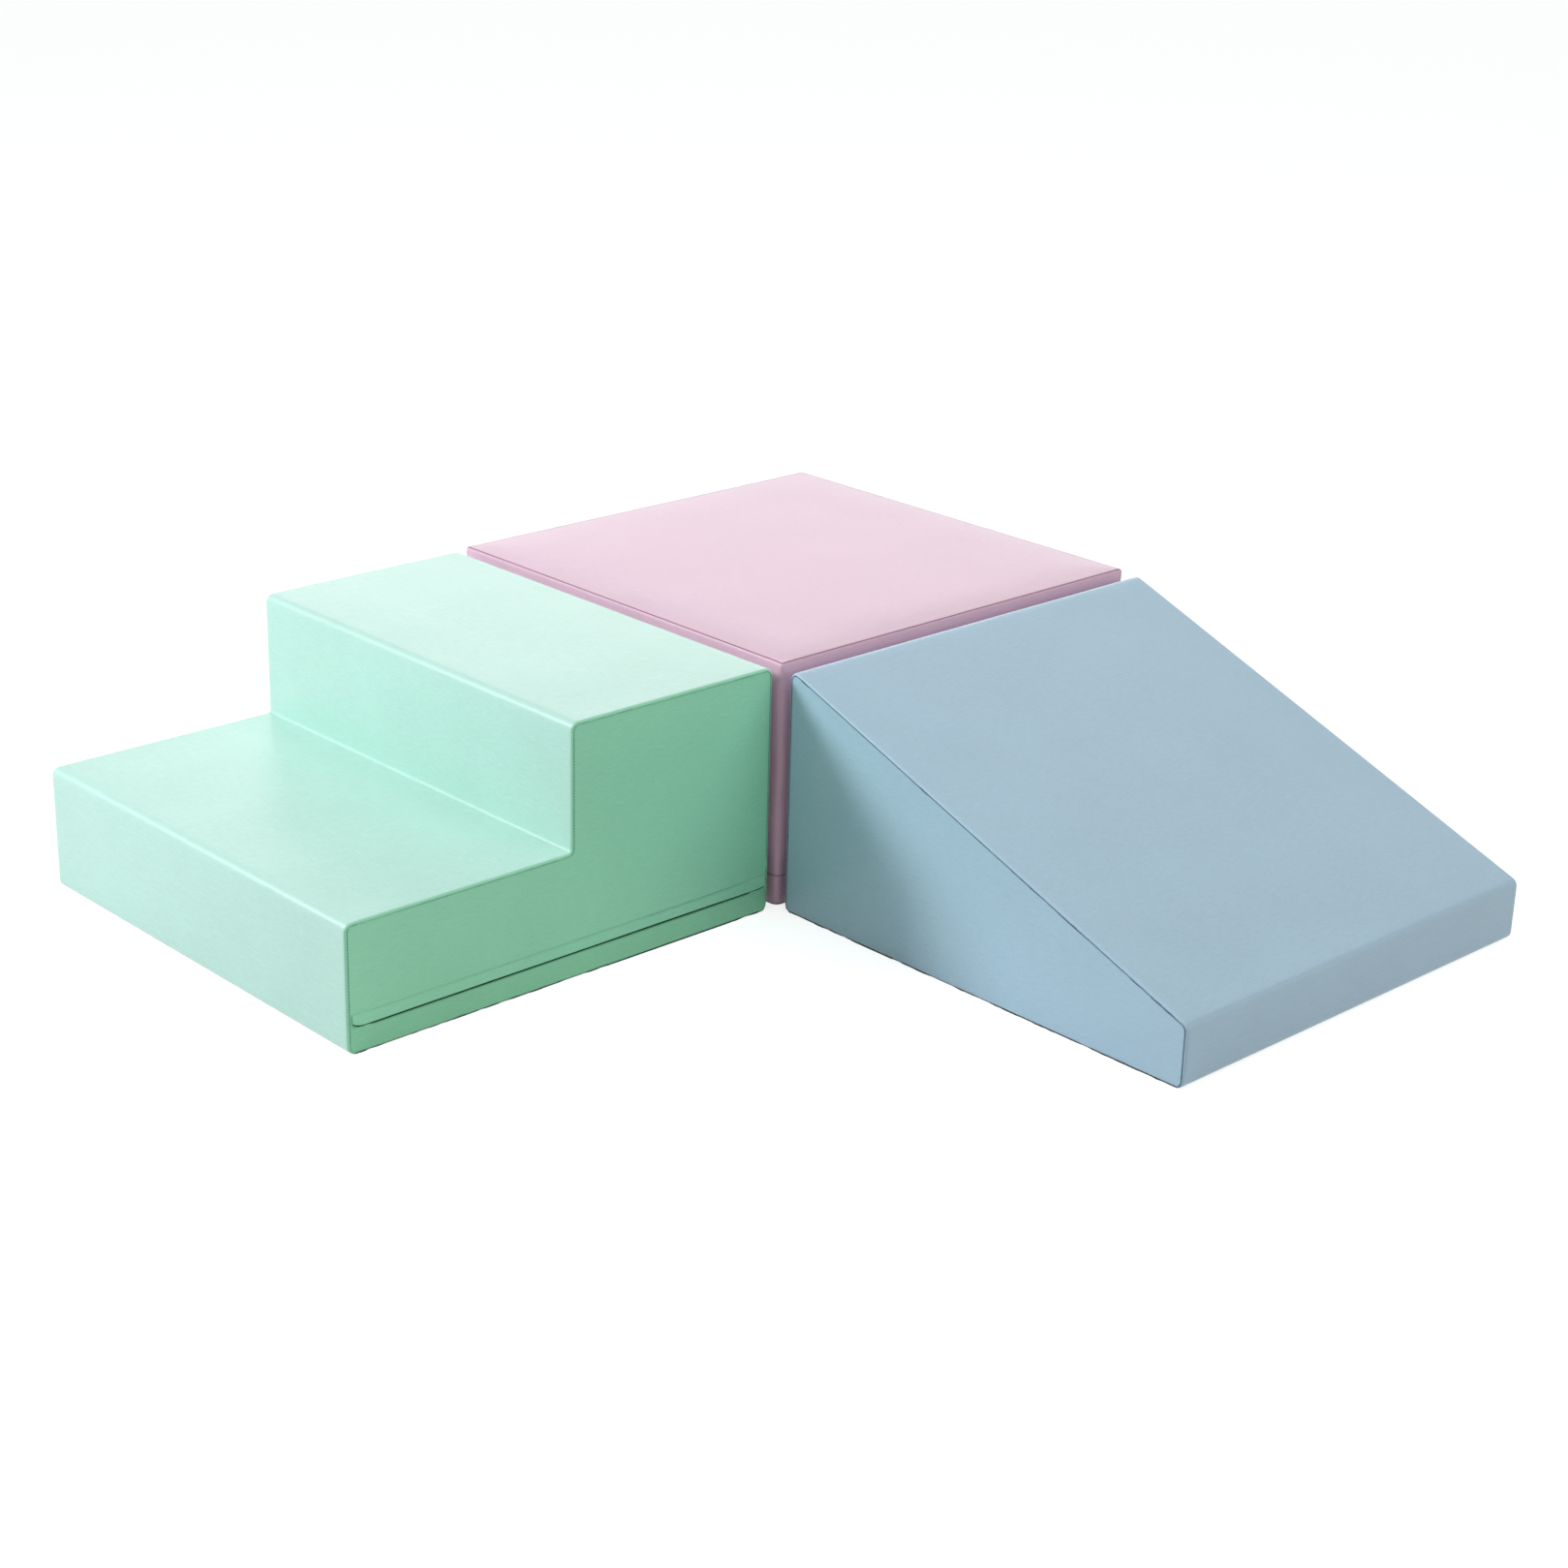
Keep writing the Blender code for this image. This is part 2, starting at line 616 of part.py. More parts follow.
def add_zip(item):
    """Flap, slider and end stops of one zip, and the two tapes with a row of coil on each."""
    centre = item.face["zip_height"]
    half_coil = item.coil_length / 2
    half_tape = tape_length(item.coil_length) / 2
    near, far = COIL_SLIT / 2, COIL_SLIT / 2 + COIL_WIDTH
    for label, side, low, high in (("upper", 1, near, far), ("lower", -1, -far, -near)):
        tape = bar(raised(tape_outline(side), centre), -half_tape, half_tape)
        make(f"{item.name}_zip_tape_{label}", tape, item.tape, item.face)
        row = raised(rectangle(COIL_DEPTH, COIL_THICKNESS, low, high), centre)
        make(f"{item.name}_zip_coil_{label}", bar(row, -half_coil, half_coil), item.tape, item.face)
    stop = rectangle(COIL_DEPTH, COIL_THICKNESS, -far, far)
    starts = (("top", -half_coil - CLEARANCE - STOP_LENGTH), ("bottom", half_coil + CLEARANCE))
    for label, start in starts:
        solid = bar(raised(stop, centre), start, start + STOP_LENGTH)
        make(f"{item.name}_zip_{label}_stop", solid, item.metal, item.face)
    rest = (-half_coil + CLEARANCE, 0, centre)
    make(f"{item.name}_zip_slider", bar(slider_outline(), 0.0, SLIDER_LENGTH), item.metal, item.face, rest)
    flap = rectangle(COVER_THICKNESS / 2, COVER_THICKNESS, -FLAP_HEIGHT, -CLEARANCE)
    hinge = (0, 0, centre + FLAP_HEIGHT / 2)
    solid = bar(flap, -item.flap_length / 2, item.flap_length / 2)
    make(f"{item.name}_zip_flap", solid, item.cover, item.face, hinge)


def zip_face(name, parent, location, turn, edge_height):
    """An empty on the zipped face, over the floor. It keeps the height of the middle of the zip."""
    face = place_empty(name, location, turn, parent)
    face["zip_height"] = edge_height + FLAP_HEIGHT / 2
    return face


# Hook-and-loop strips, built in a frame on the face they are sewn to: X across the face, Y out of it


def add_strips(name, parent, thickness, finish):
    start = JOIN_CROWN + CLEARANCE
    low = STRIP_CENTRE_HEIGHT - STRIP_HEIGHT / 2
    for label, side in (("left", -1), ("right", 1)):
        centre = side * STRIP_SPACING / 2
        corner = (centre - STRIP_WIDTH / 2, start, low)
        opposite = (centre + STRIP_WIDTH / 2, start + thickness, low + STRIP_HEIGHT)
        make(f"{name}_{label}", (box_loops(corner, opposite), "flat"), finish, parent)


# Assembly


def build_steps(finishes):
    origin = place_empty("steps_origin", (CORNER_X - BLOCK_GAP, CORNER_Y + STEPS_WIDTH / 2, 0))
    place = (-STEPS_LENGTH / 2, -STEPS_WIDTH / 2, 0)
    face = zip_face("steps_zip_face", origin, place, 0.0, FLAP_EDGE_HEIGHT)
    cover = finishes["mint_leatherette"]
    sides = ("near", "far")
    stations = add_block_cover("steps", steps_block(), origin, cover, finishes["nonslip_base"], sides)
    add_steps_foam(stations, origin, finishes["foam"], face)
    length = STEPS_LENGTH - 2 * (SIDE_SEAM_INSET + CLEARANCE)
    add_zip(block_zip("steps", face, length, STEPS_LENGTH, finishes, "mint"))
    shift = (BLOCK_WIDTH - STEPS_WIDTH) / 2
    back = place_empty("steps_back_face", (0, shift, 0), -math.pi / 2, origin)
    add_strips("steps_hook_strip", back, HOOK_THICKNESS, finishes["hook_tape"])


def build_ramp(finishes):
    origin = place_empty("ramp_origin", (CORNER_X + BLOCK_WIDTH / 2, CORNER_Y - BLOCK_GAP, 0), math.pi / 2)
    place = (-RAMP_LENGTH / 2, -BLOCK_WIDTH / 2, 0)
    face = zip_face("ramp_zip_face", origin, place, 0.0, FLAP_EDGE_HEIGHT)
    block = ramp_block()
    cover = finishes["blue_leatherette"]
    stations = add_block_cover("ramp", block, origin, cover, finishes["nonslip_base"], ("far", "near"))
    loops = foam_loops(block, stations)
    wedge = add_slab("ramp_foam_wedge", loops, block.heart, finishes["foam"], origin, [])
    cut_pocket(wedge, "ramp_pocket_guide", face, RAMP_LENGTH)
    length = RAMP_LENGTH - 2 * (SIDE_SEAM_INSET + CLEARANCE)
    add_zip(block_zip("ramp", face, length, RAMP_LENGTH, finishes, "blue"))
    back = place_empty("ramp_back_face", (0, 0, 0), -math.pi / 2, origin)
    add_strips("ramp_hook_strip", back, HOOK_THICKNESS, finishes["hook_tape"])


def build_platform(finishes):
    half = BLOCK_WIDTH / 2
    origin = place_empty("platform_origin", (CORNER_X + half, CORNER_Y + half, 0))
    face = zip_face("platform_zip_face", origin, (0, half, 0), math.pi, LOWER_SEAM_HEIGHT)
    stations, corners = platform_stations()
    length = BLOCK_WIDTH - 2 * (PLATFORM_CORNER_RADIUS + SIDE_SEAM_INSET)
    cover = finishes["pink_leatherette"]
    add_platform_cover(stations, corners, origin, cover, finishes["nonslip_base"], length)
    add_platform_foam(stations, corners, origin, finishes["foam"], face)
    add_zip(block_zip("platform", face, length, BLOCK_WIDTH, finishes, "pink"))
    steps_side = place_empty("platform_steps_face", (-half, 0, 0), math.pi / 2, origin)
    ramp_side = place_empty("platform_ramp_face", (0, -half, 0), math.pi, origin)
    add_strips("platform_steps_loop_strip", steps_side, LOOP_THICKNESS, finishes["loop_tape"])
    add_strips("platform_ramp_loop_strip", ramp_side, LOOP_THICKNESS, finishes["loop_tape"])


def block_zip(name, face, flap_length, block_length, finishes, colour):
    cover, tape = finishes[f"{colour}_leatherette"], finishes[f"{colour}_zip_tape"]
    return Zip(name, face, flap_length, coil_length(block_length), cover, tape, finishes["zip_metal"])


def build_finishes():
    """Name, colour, roughness and metallic value of each finish."""
    table = (
        ("mint_leatherette", (0.56, 0.85, 0.74), 0.42, 0.0),
        ("pink_leatherette", (0.81, 0.64, 0.73), 0.42, 0.0),
        ("blue_leatherette", (0.42, 0.57, 0.67), 0.45, 0.0),
        ("nonslip_base", (0.10, 0.11, 0.10), 0.80, 0.0),
        ("foam", (0.86, 0.85, 0.80), 0.90, 0.0),
        ("mint_zip_tape", (0.50, 0.78, 0.66), 0.75, 0.0),
        ("pink_zip_tape", (0.74, 0.58, 0.66), 0.75, 0.0),
        ("blue_zip_tape", (0.37, 0.51, 0.60), 0.75, 0.0),
        ("zip_metal", (0.62, 0.62, 0.62), 0.35, 1.0),
        ("hook_tape", (0.80, 0.80, 0.80), 0.65, 0.0),
        ("loop_tape", (0.84, 0.84, 0.84), 0.85, 0.0),
    )
    return {name: material(name, colour, rough, metal) for name, colour, rough, metal in table}


clear_scene()
all_finishes = build_finishes()
build_platform(all_finishes)
build_steps(all_finishes)
build_ramp(all_finishes)
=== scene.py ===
"""Soft play foam climber: mint steps, a pink platform and a pale blue ramp, dressed over its CAD frame."""

import math

import bmesh
import bpy
import numpy as np
from mathutils import Matrix, Vector, geometry, kdtree, noise


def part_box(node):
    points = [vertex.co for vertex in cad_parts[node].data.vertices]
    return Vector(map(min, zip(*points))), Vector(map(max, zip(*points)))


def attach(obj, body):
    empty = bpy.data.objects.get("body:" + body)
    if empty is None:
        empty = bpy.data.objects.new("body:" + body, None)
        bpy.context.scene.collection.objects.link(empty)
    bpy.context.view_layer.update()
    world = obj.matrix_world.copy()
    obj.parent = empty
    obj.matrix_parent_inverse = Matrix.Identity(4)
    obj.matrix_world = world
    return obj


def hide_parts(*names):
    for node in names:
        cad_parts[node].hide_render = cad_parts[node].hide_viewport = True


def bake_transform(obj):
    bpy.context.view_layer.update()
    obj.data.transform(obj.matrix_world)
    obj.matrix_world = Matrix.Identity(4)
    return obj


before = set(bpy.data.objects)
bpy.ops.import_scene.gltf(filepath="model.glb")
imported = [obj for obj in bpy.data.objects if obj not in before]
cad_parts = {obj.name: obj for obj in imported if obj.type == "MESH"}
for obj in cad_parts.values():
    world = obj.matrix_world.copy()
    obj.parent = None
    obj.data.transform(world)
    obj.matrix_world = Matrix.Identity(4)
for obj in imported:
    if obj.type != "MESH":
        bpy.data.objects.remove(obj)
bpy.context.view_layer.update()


# Camera: a long lens at the corner between the steps and the ramp, looking down a little on the set.
# It stands where the photograph was taken from.


def add_object(name, data):
    made = bpy.data.objects.new(name, data)
    bpy.context.scene.collection.objects.link(made)
    return made


yaw, pitch, roll = math.radians(46.3465), math.radians(-21.2589), math.radians(1.5533)
look = Vector((math.cos(yaw) * math.cos(pitch), math.sin(yaw) * math.cos(pitch), math.sin(pitch)))
level = look.cross(Vector((0, 0, 1))).normalized()
rise = level.cross(look)
right = level * math.cos(roll) + rise * math.sin(roll)
up = rise * math.cos(roll) - level * math.sin(roll)
lens = bpy.data.cameras.new("studio_camera")
lens.lens = 67.395
lens.sensor_width = 36
camera = add_object("studio_camera", lens)
stand = Matrix.Translation((-2.19160, -2.30221, 1.39756))
camera.matrix_world = stand @ Matrix((right, up, -look)).transposed().to_4x4()
bpy.context.scene.camera = camera


# Studio: a pale seamless floor and a white surround. A soft window light stands on the left and a little
# behind the set, a white card behind it brightens the tops, and a broad fill in front and a lamp overhead
# open the shadows.

bpy.context.scene.view_settings.view_transform = "Standard"


def set_inputs(tree, node, values):
    """Sets inputs of a shader node to plain values, or joins them to outputs of other nodes."""
    for key, value in values.items():
        if isinstance(value, bpy.types.NodeSocket):
            tree.links.new(value, node.inputs[key])
        else:
            node.inputs[key].default_value = value


def add_node(tree, kind, values=None, **settings):
    """A new shader node. Its settings come first, because they decide which inputs it has."""
    made = tree.nodes.new("ShaderNode" + kind)
    for key, value in settings.items():
        setattr(made, key, value)
    set_inputs(tree, made, values or {})
    return made


def object_place(tree):
    return add_node(tree, "TexCoord").outputs["Object"]


def math_node(tree, operation, *values, clamp=False):
    return add_node(tree, "Math", dict(enumerate(values)), operation=operation, use_clamp=clamp).outputs[0]


def new_material(name, values):
    """A material with some inputs of its Principled shader set, its node tree and that shader."""
    made = bpy.data.materials.new(name)
    made.use_nodes = True
    shader = made.node_tree.nodes["Principled BSDF"]
    set_inputs(made.node_tree, shader, values)
    return made, made.node_tree, shader


def seen_directly(tree):
    """1 for what the camera sees straight, in a mirror or through glass."""
    path = add_node(tree, "LightPath").outputs
    straight_or_mirror = math_node(tree, "MAXIMUM", path["Is Camera Ray"], path["Is Glossy Ray"])
    return math_node(tree, "MAXIMUM", straight_or_mirror, path["Is Transmission Ray"])


world = bpy.data.worlds.new("white_surround")
world.use_nodes = True
bpy.context.scene.world = world
tree = world.node_tree
room_light = tree.nodes["Background"]
set_inputs(tree, room_light, {"Color": (0.92, 1.0, 0.97, 1), "Strength": 0.32})
backdrop = add_node(tree, "Background", {"Color": (1, 1, 1, 1), "Strength": 1.0})
pick = add_node(tree, "MixShader", {0: seen_directly(tree), 1: room_light.outputs[0], 2: backdrop.outputs[0]})
set_inputs(tree, tree.nodes["World Output"], {"Surface": pick.outputs[0]})

floor_paint, tree, paint = new_material(
    "pale_floor", {"Base Color": (0.62, 0.62, 0.62, 1), "Roughness": 0.9, "Specular IOR Level": 0.1}
)
glow = add_node(tree, "Emission", {"Color": (1, 1, 1, 1), "Strength": 0.76})
both = add_node(tree, "AddShader", {0: paint.outputs[0], 1: glow.outputs[0]})
pick = add_node(tree, "MixShader", {0: seen_directly(tree), 1: paint.outputs[0], 2: both.outputs[0]})
set_inputs(tree, tree.nodes["Material Output"], {"Surface": pick.outputs[0]})
floor_reach = 30.0
floor_mesh = bpy.data.meshes.new("studio_floor")
floor_corners = [(x * floor_reach, y * floor_reach, 0) for x, y in ((-1, -1), (1, -1), (1, 1), (-1, 1))]
floor_mesh.from_pydata(floor_corners, [], [(0, 1, 2, 3)])
floor_mesh.materials.append(floor_paint)
add_object("studio_floor", floor_mesh)

for name, place, aim, size, power, colour in (
    ("window", (-2.7, 2.25, 2.25), (0, 0, 0.15), (1.0, 1.0), 98, (0.95, 1.0, 1.04)),
    ("back_card", (2.4, 2.5, 1.15), (0, 0, 0.2), (3.2, 1.0), 16, (1, 1, 1)),
    ("front_fill", (2.6, -5.9, 2.4), (-0.1, 0, 0.15), (3.4, 2.4), 56, (0.96, 1.0, 0.93)),
    ("overhead", (0.5, -0.9, 3.4), (0.2, -0.2, 0.2), (1.8, 1.8), 22, (1, 0.98, 0.98)),
):
    lamp = bpy.data.lights.new(name, "AREA")
    lamp.shape = "RECTANGLE"
    lamp.size, lamp.size_y = size
    lamp.energy, lamp.color = power, colour
    turned = (Vector(aim) - Vector(place)).to_track_quat("-Z", "Y").to_matrix().to_4x4()
    add_object(name, lamp).matrix_world = Matrix.Translation(place) @ turned


# Steps foam: two slabs of firm open-cell polyurethane foam, sawn flat and glued, the upper one half as long.
# The zipped side of the lower slab has a shallow cut for the zip. The slabs stay a little behind their cover.

steps_length, steps_width, tread_height, tread_end, block_height = 0.600, 0.588, 0.151, -0.297, 0.303
steps_back, steps_middle = -0.00705, 0.3048
slab_room, slab_crown, slab_radius, crown_reach = 0.0045, 0.0006, 0.012, 0.045
mesh_step = 0.015
near_seam = (0.0007, 0.0017, 0.0028)


def mix_colours(tree, share, a, b):
    return add_node(tree, "Mix", {"Factor": share, "A": a, "B": b}, data_type="RGBA").outputs["Result"]


def emboss(tree, shader, height, depth, strength=1.0):
    bump = add_node(tree, "Bump", {"Strength": strength, "Distance": depth, "Height": height})
    set_inputs(tree, shader, {"Normal": bump.outputs["Normal"]})


cream_foam, tree, foam_skin = new_material("foam", {"Roughness": 0.92})
cells = add_node(tree, "TexVoronoi", {"Vector": object_place(tree), "Scale": 480})
cell_depth = cells.outputs["Distance"]
cell_tone = mix_colours(tree, cell_depth, (0.60, 0.58, 0.50, 1), (0.88, 0.87, 0.80, 1))
set_inputs(tree, foam_skin, {"Base Color": cell_tone})
emboss(tree, foam_skin, cell_depth, 0.0005)


def spread(length, fine_start, fine_end, marks=()):
    """Distances along a straight, close together beside a seam, with the marked ones among them."""
    inside = [0.0, length, *marks]
    if fine_start:
        inside += near_seam
    if fine_end:
        inside += [length - d for d in near_seam]
    inside = sorted(inside)
    full = []
    for a, b in zip(inside, inside[1:]):
        count = max(1, math.ceil((b - a) / mesh_step - 0.01))
        full += [a + (b - a) * i / count for i in range(count)]
    return full[1:]


def crown(share, run=0.25):
    """How far a padded face has risen, from its seam (share 0 or 1) to its middle."""
    t = min(1.0, min(share, 1 - share) / run)
    return t * t * (3 - 2 * t)


def walk_outline(corners, radii, crowns, insets, fine, marks):
    """Stations round an outline with rounded corners: place, outward direction, inset, crown and edge number.
    fine lists the corners whose bend starts or ends at a seam, marks the extra places along each edge."""
    count = len(corners)
    along = [(corners[(i + 1) % count] - corners[i]).normalized() for i in range(count)]
    bends = []
    for i in range(count):
        before, after = along[i - 1], along[i]
        turn = before.angle_signed(after)
        side = math.copysign(1, turn)
        out = Vector((-before.y, before.x))
        start = corners[i] - before * radii[i] * math.tan(abs(turn) / 2)
        centre = start - out * radii[i] * side
        shares = {0.0, 0.2, 0.4, 0.6, 0.8, 1.0}
        if (i, "start") in fine:
            shares |= {d / (radii[i] * abs(turn)) for d in near_seam[:2]}
        if (i, "end") in fine:
            shares |= {1 - d / (radii[i] * abs(turn)) for d in near_seam[:2]}
        bend = []
        for share in sorted(shares):
            facing = Matrix.Rotation(-turn * share, 2) @ out
            bend.append((centre + facing * radii[i] * side, facing, share))
        bends.append(bend)
    stations = []
    for i, bend in enumerate(bends):
        for point, facing, share in bend:
            ease = share * share * (3 - 2 * share)
            inset = insets[i - 1] * (1 - ease) + insets[i] * ease
            stations.append((point, facing, inset, 0.0, i - 1 if share < 1 else i))
        start, facing, _ = bend[-1]
        end = bends[(i + 1) % count][0][0]
        length = (end - start).length
        here = [(Vector(m) - start).dot(along[i]) for m in marks.get(i, ())]
        for d in spread(length, (i, "end") in fine, ((i + 1) % count, "start") in fine, here):
            share = d / length
            stations.append((start.lerp(end, share), facing, insets[i], crowns[i] * crown(share), i))
    return stations


def side_rows(width, side_seam, fold):
    """Rows from one side seam over the fold, across the block and over the other fold. Each has its share of
    the stations' inset, its place across the block and its share of their crown. Where the seam is set in
    further than the fold is wide, the first rows lie in one place, right at the seam."""
    half, flat, bend = width / 2 - fold, side_seam - fold, fold * math.pi / 2
    at_seam = [d for d in near_seam if d < flat - 0.0004]
    over_fold = []
    for d in sorted({0.0, flat, *at_seam, *(flat + bend * k / 4 for k in (1, 2, 3, 4))}):
        angle = max(0.0, d - flat) / fold
        over_fold.append((fold * (1 - math.sin(angle)) / side_seam, half + fold * math.cos(angle), 0.0))
    spots = [d - half for d in spread(2 * half, False, False)[:-1]]
    across = [(0.0, spot, crown((spot + half) / (2 * half))) for spot in spots]
    return [(inset, -spot, lift) for inset, spot, lift in over_fold] + across + over_fold[::-1]


def gap_to(points, starts, ends):
    """Shortest distance from each point to a set of straight edges."""
    span = ends - starts
    share = ((points[:, None] - starts) * span).sum(2) / (span * span).sum(1)
    foot = starts + np.clip(share, 0, 1)[:, :, None] * span
    return np.linalg.norm(points[:, None] - foot, axis=2).min(1)


def is_inside(points, ring):
    hits = np.zeros(len(points), bool)
    for (ax, ay), (bx, by) in zip(ring, np.roll(ring, -1, 0)):
        crosses = (ay > points[:, 1]) != (by > points[:, 1])
        if ay != by:
            hits ^= crosses & (points[:, 0] < (bx - ax) * (points[:, 1] - ay) / (by - ay) + ax)
    return hits


def fill_inside(ring, levels, posts=()):
    """New points and triangles that fill a flat ring. levels are heights at which a straight row of points
    joins the two sides of the ring, where one panel ends and the next begins. posts are the places of upright
    rows between the lowest and the highest level."""
    count = len(ring)
    points, edges = [tuple(p) for p in ring], [(i, (i + 1) % count) for i in range(count)]
    rows, feet = [], {}
    for height in levels:
        ends = sorted((i for i in range(count) if abs(ring[i][1] - height) < 1e-6), key=lambda i: ring[i][0])
        a, b = ring[ends[0]], ring[ends[-1]]
        steps = max(2, round((b[0] - a[0]) / mesh_step))
        evenly = [a[0] + (b[0] - a[0]) * i / steps for i in range(1, steps)]
        chain = [ends[0]]
        for x in sorted([*posts, *(x for x in evenly if all(abs(x - post) > 0.004 for post in posts))]):
            if x in posts:
                if x in feet:
                    edges.append((feet[x], len(points)))
                feet[x] = len(points)
            chain.append(len(points))
            points.append((x, height))
        chain.append(ends[-1])
        edges += list(zip(chain, chain[1:]))
        rows.append((a, b))
    low, high = ring.min(0), ring.max(0)
    axes = []
    for i in range(2):
        steps = max(2, round((high[i] - low[i]) / mesh_step))
        axes.append(np.linspace(low[i], high[i], steps + 1)[1:-1])
    grid = np.array([(x, y) for y in axes[1] for x in axes[0]])
    starts = np.array([*ring, *(a for a, b in rows)])
    ends = np.array([*np.roll(ring, -1, 0), *(b for a, b in rows)])
    grid = grid[(gap_to(grid, starts, ends) > 0.55 * mesh_step) & is_inside(grid, ring)]
    points += [tuple(p) for p in grid]
    flat = [Vector(p) for p in points]
    _, _, triangles, origins, _, _ = geometry.delaunay_2d_cdt(flat, edges, [], 1, 1e-7)
    index = [origin[0] for origin in origins]
    return np.array(points), [[index[i] for i in t] for t in triangles]


def turn_outward(mesh):
    bm = bmesh.new()
    bm.from_mesh(mesh)
    bmesh.ops.recalc_face_normals(bm, faces=bm.faces)
    bm.to_mesh(mesh)
    bm.free()


def build_skin(name, stations, rows, to_world, ends, crowned, panel_of, folds=(), corner=0.0, posts=()):
    """The outside of a block as one closed skin: rows of stations round it, and a flat patch at each end.
    ends gives the crown, rise distance and level lines of each patch. panel_of names the panel of each face.
    corner is the radius of corners that some rows draw out to a point, posts the ends of the zip opening."""
    places, polygons, panels, room, held = [], [], [], [], []
    count = len(stations)

    def add(point, height, swell, fixed=False):
        places.append(to_world(point[0], point[1], height))
        room.append(swell)
        held.append(fixed)
        return len(places) - 1

    def drawn_out(facing, share):
        return facing * share * corner * 1.65 * (facing.x * facing.y) ** 2

    grid = []
    for sink, height, weight, *sharp in rows:
        ring = []
        for i, (point, facing, inset, lift, edge) in enumerate(stations):
            spot = point + facing * (0.5 * lift * weight - inset * sink) + drawn_out(facing, sum(sharp))
            ring.append(add(spot, height, crowned[edge], i in folds))
        grid.append(ring)
    for j in range(len(rows) - 1):
        for i in range(count):
            k = (i + 1) % count
            polygons.append([grid[j][i], grid[j][k], grid[j + 1][k], grid[j + 1][i]])
            panels.append(panel_of(i, j, None))
    for j, (lift, rise_over, levels) in zip((0, len(rows) - 1), ends):
        sink, height, _, *sharp = rows[j]
        out = 1 if j else -1
        last = grid[j]
        for distance in (0.0, *near_seam):
            point_share = sum(sharp) * (1 - distance / 0.004)
            ring = np.array([
                tuple(point - facing * (inset * sink + distance) + drawn_out(facing, point_share))
                for point, facing, inset, _, _ in stations
            ])
            if distance == 0.0:
                outline = ring
                continue
            risen = height + out * 0.5 * lift * crown(distance / rise_over / 4)
            here = [add(p, risen, lift) for p in ring]
            for i in range(count):
                k = (i + 1) % count
                polygons.append([last[i], last[k], here[k], here[i]])
                panels.append(panel_of(i, j, (ring[i] + ring[k]) / 2))
            last = here
        points, triangles = fill_inside(ring, levels, posts if levels else ())
        away = gap_to(points, outline, np.roll(outline, -1, 0))
        index = list(last)
        for p, d in zip(points[count:], away[count:]):
            share = min(0.5, d / rise_over / 4)
            index.append(add(p, height + out * 0.5 * lift * crown(share), lift))
        for triangle in triangles:
            polygons.append([index[i] for i in triangle])
            panels.append(panel_of(None, j, points[triangle].mean(0)))
    mesh = bpy.data.meshes.new(name)
    mesh.from_pydata(places, [], polygons)
    names = sorted(set(panels))
    for _ in names:
        mesh.materials.append(None)
    mesh.polygons.foreach_set("material_index", [names.index(p) for p in panels])
    turn_outward(mesh)
    return add_object(name, mesh), names, np.array(room), np.array(held)


def rectangle_outline(x0, z0, x1, z1):
    return [Vector(c) for c in ((x0, z0), (x0, z1), (x1, z1), (x1, z0))]


def glued_on(top):
    """Height at which an upper slab starts, so that it meets the one under it with both a little smaller."""
    return top - 2 * slab_room + slab_crown


def cut_pocket(slab, low, high):
    """Cuts the room for the zip, a plain box between two corners, out of a slab."""
    bm = bmesh.new()
    shape = bmesh.ops.create_cube(bm, size=1.0)["verts"]
    bmesh.ops.scale(bm, vec=high - low, verts=shape)
    bmesh.ops.translate(bm, vec=(low + high) / 2, verts=shape)
    mould = bpy.data.meshes.new("pocket")
    bm.to_mesh(mould)
    bm.free()
    cutter = add_object("pocket", mould)
    cut = slab.modifiers.new("pocket", "BOOLEAN")
    cut.object = cutter
    cut.solver = "EXACT"
    slab.data = bpy.data.meshes.new_from_object(slab.evaluated_get(bpy.context.evaluated_depsgraph_get()))
    slab.modifiers.clear()
    bpy.data.objects.remove(cutter)


def foam_slab(node, corners, width, to_world, body, pocket=None, edge=0.002):
    """One slab, a little smaller than its cover. pocket gives the low and high corner of the zip's cut and
    edge the radius of the slab's edges at both ends of its width."""
    count = len(corners)
    crowns = [slab_crown] * count
    stations = walk_outline(corners, [edge + slab_radius] * count, crowns, [edge] * count, set(), {})
    stations = [(p - f * slab_room, f, i, lift, e) for p, f, i, lift, e in stations]
    rows = side_rows(width - 2 * slab_room, edge, edge)
    ends = [(slab_crown, crown_reach, ())] * 2
    name = node.replace("foam", "foam_slab")
    slab, *_ = build_skin(name, stations, rows, to_world, ends, crowns, lambda *_: "foam")
    slab.data.shade_smooth()
    slab.data.materials[0] = cream_foam
    if pocket:
        cut_pocket(slab, *(Vector(c) for c in pocket))
    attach(slab, body)
    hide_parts(node)


def steps_place(x, z, y):
    return (x + steps_back, y + steps_middle, z)


lower_slab = rectangle_outline(-steps_length, 0, 0, tread_height)
upper_slab = rectangle_outline(tread_end, glued_on(tread_height), 0, block_height)
zip_pocket = ((-0.573, 0.0, 0.017), (-0.041, 0.0188, 0.057))
foam_slab("steps_foam_lower", lower_slab, steps_width, steps_place, "steps", zip_pocket)
foam_slab("steps_foam_upper", upper_slab, steps_width, steps_place, "steps")


# Leatherette: woven polyester under a thin skin of soft polyurethane, embossed with a fine pebble grain.
# It is dyed mint, pink or pale blue, and all the covers are sewn from it.


def new_group(name, colours, outputs):
    """An empty shader node group with named colour inputs and named outputs."""
    tree = bpy.data.node_groups.new(name, "ShaderNodeTree")
    for label, value in colours.items():
        socket = tree.interface.new_socket(name=label, in_out="INPUT", socket_type="NodeSocketColor")
        socket.default_value = value
    for label, kind in outputs.items():
        tree.interface.new_socket(name=label, in_out="OUTPUT", socket_type="NodeSocket" + kind)
    return tree, tree.nodes.new("NodeGroupInput").outputs, tree.nodes.new("NodeGroupOutput")


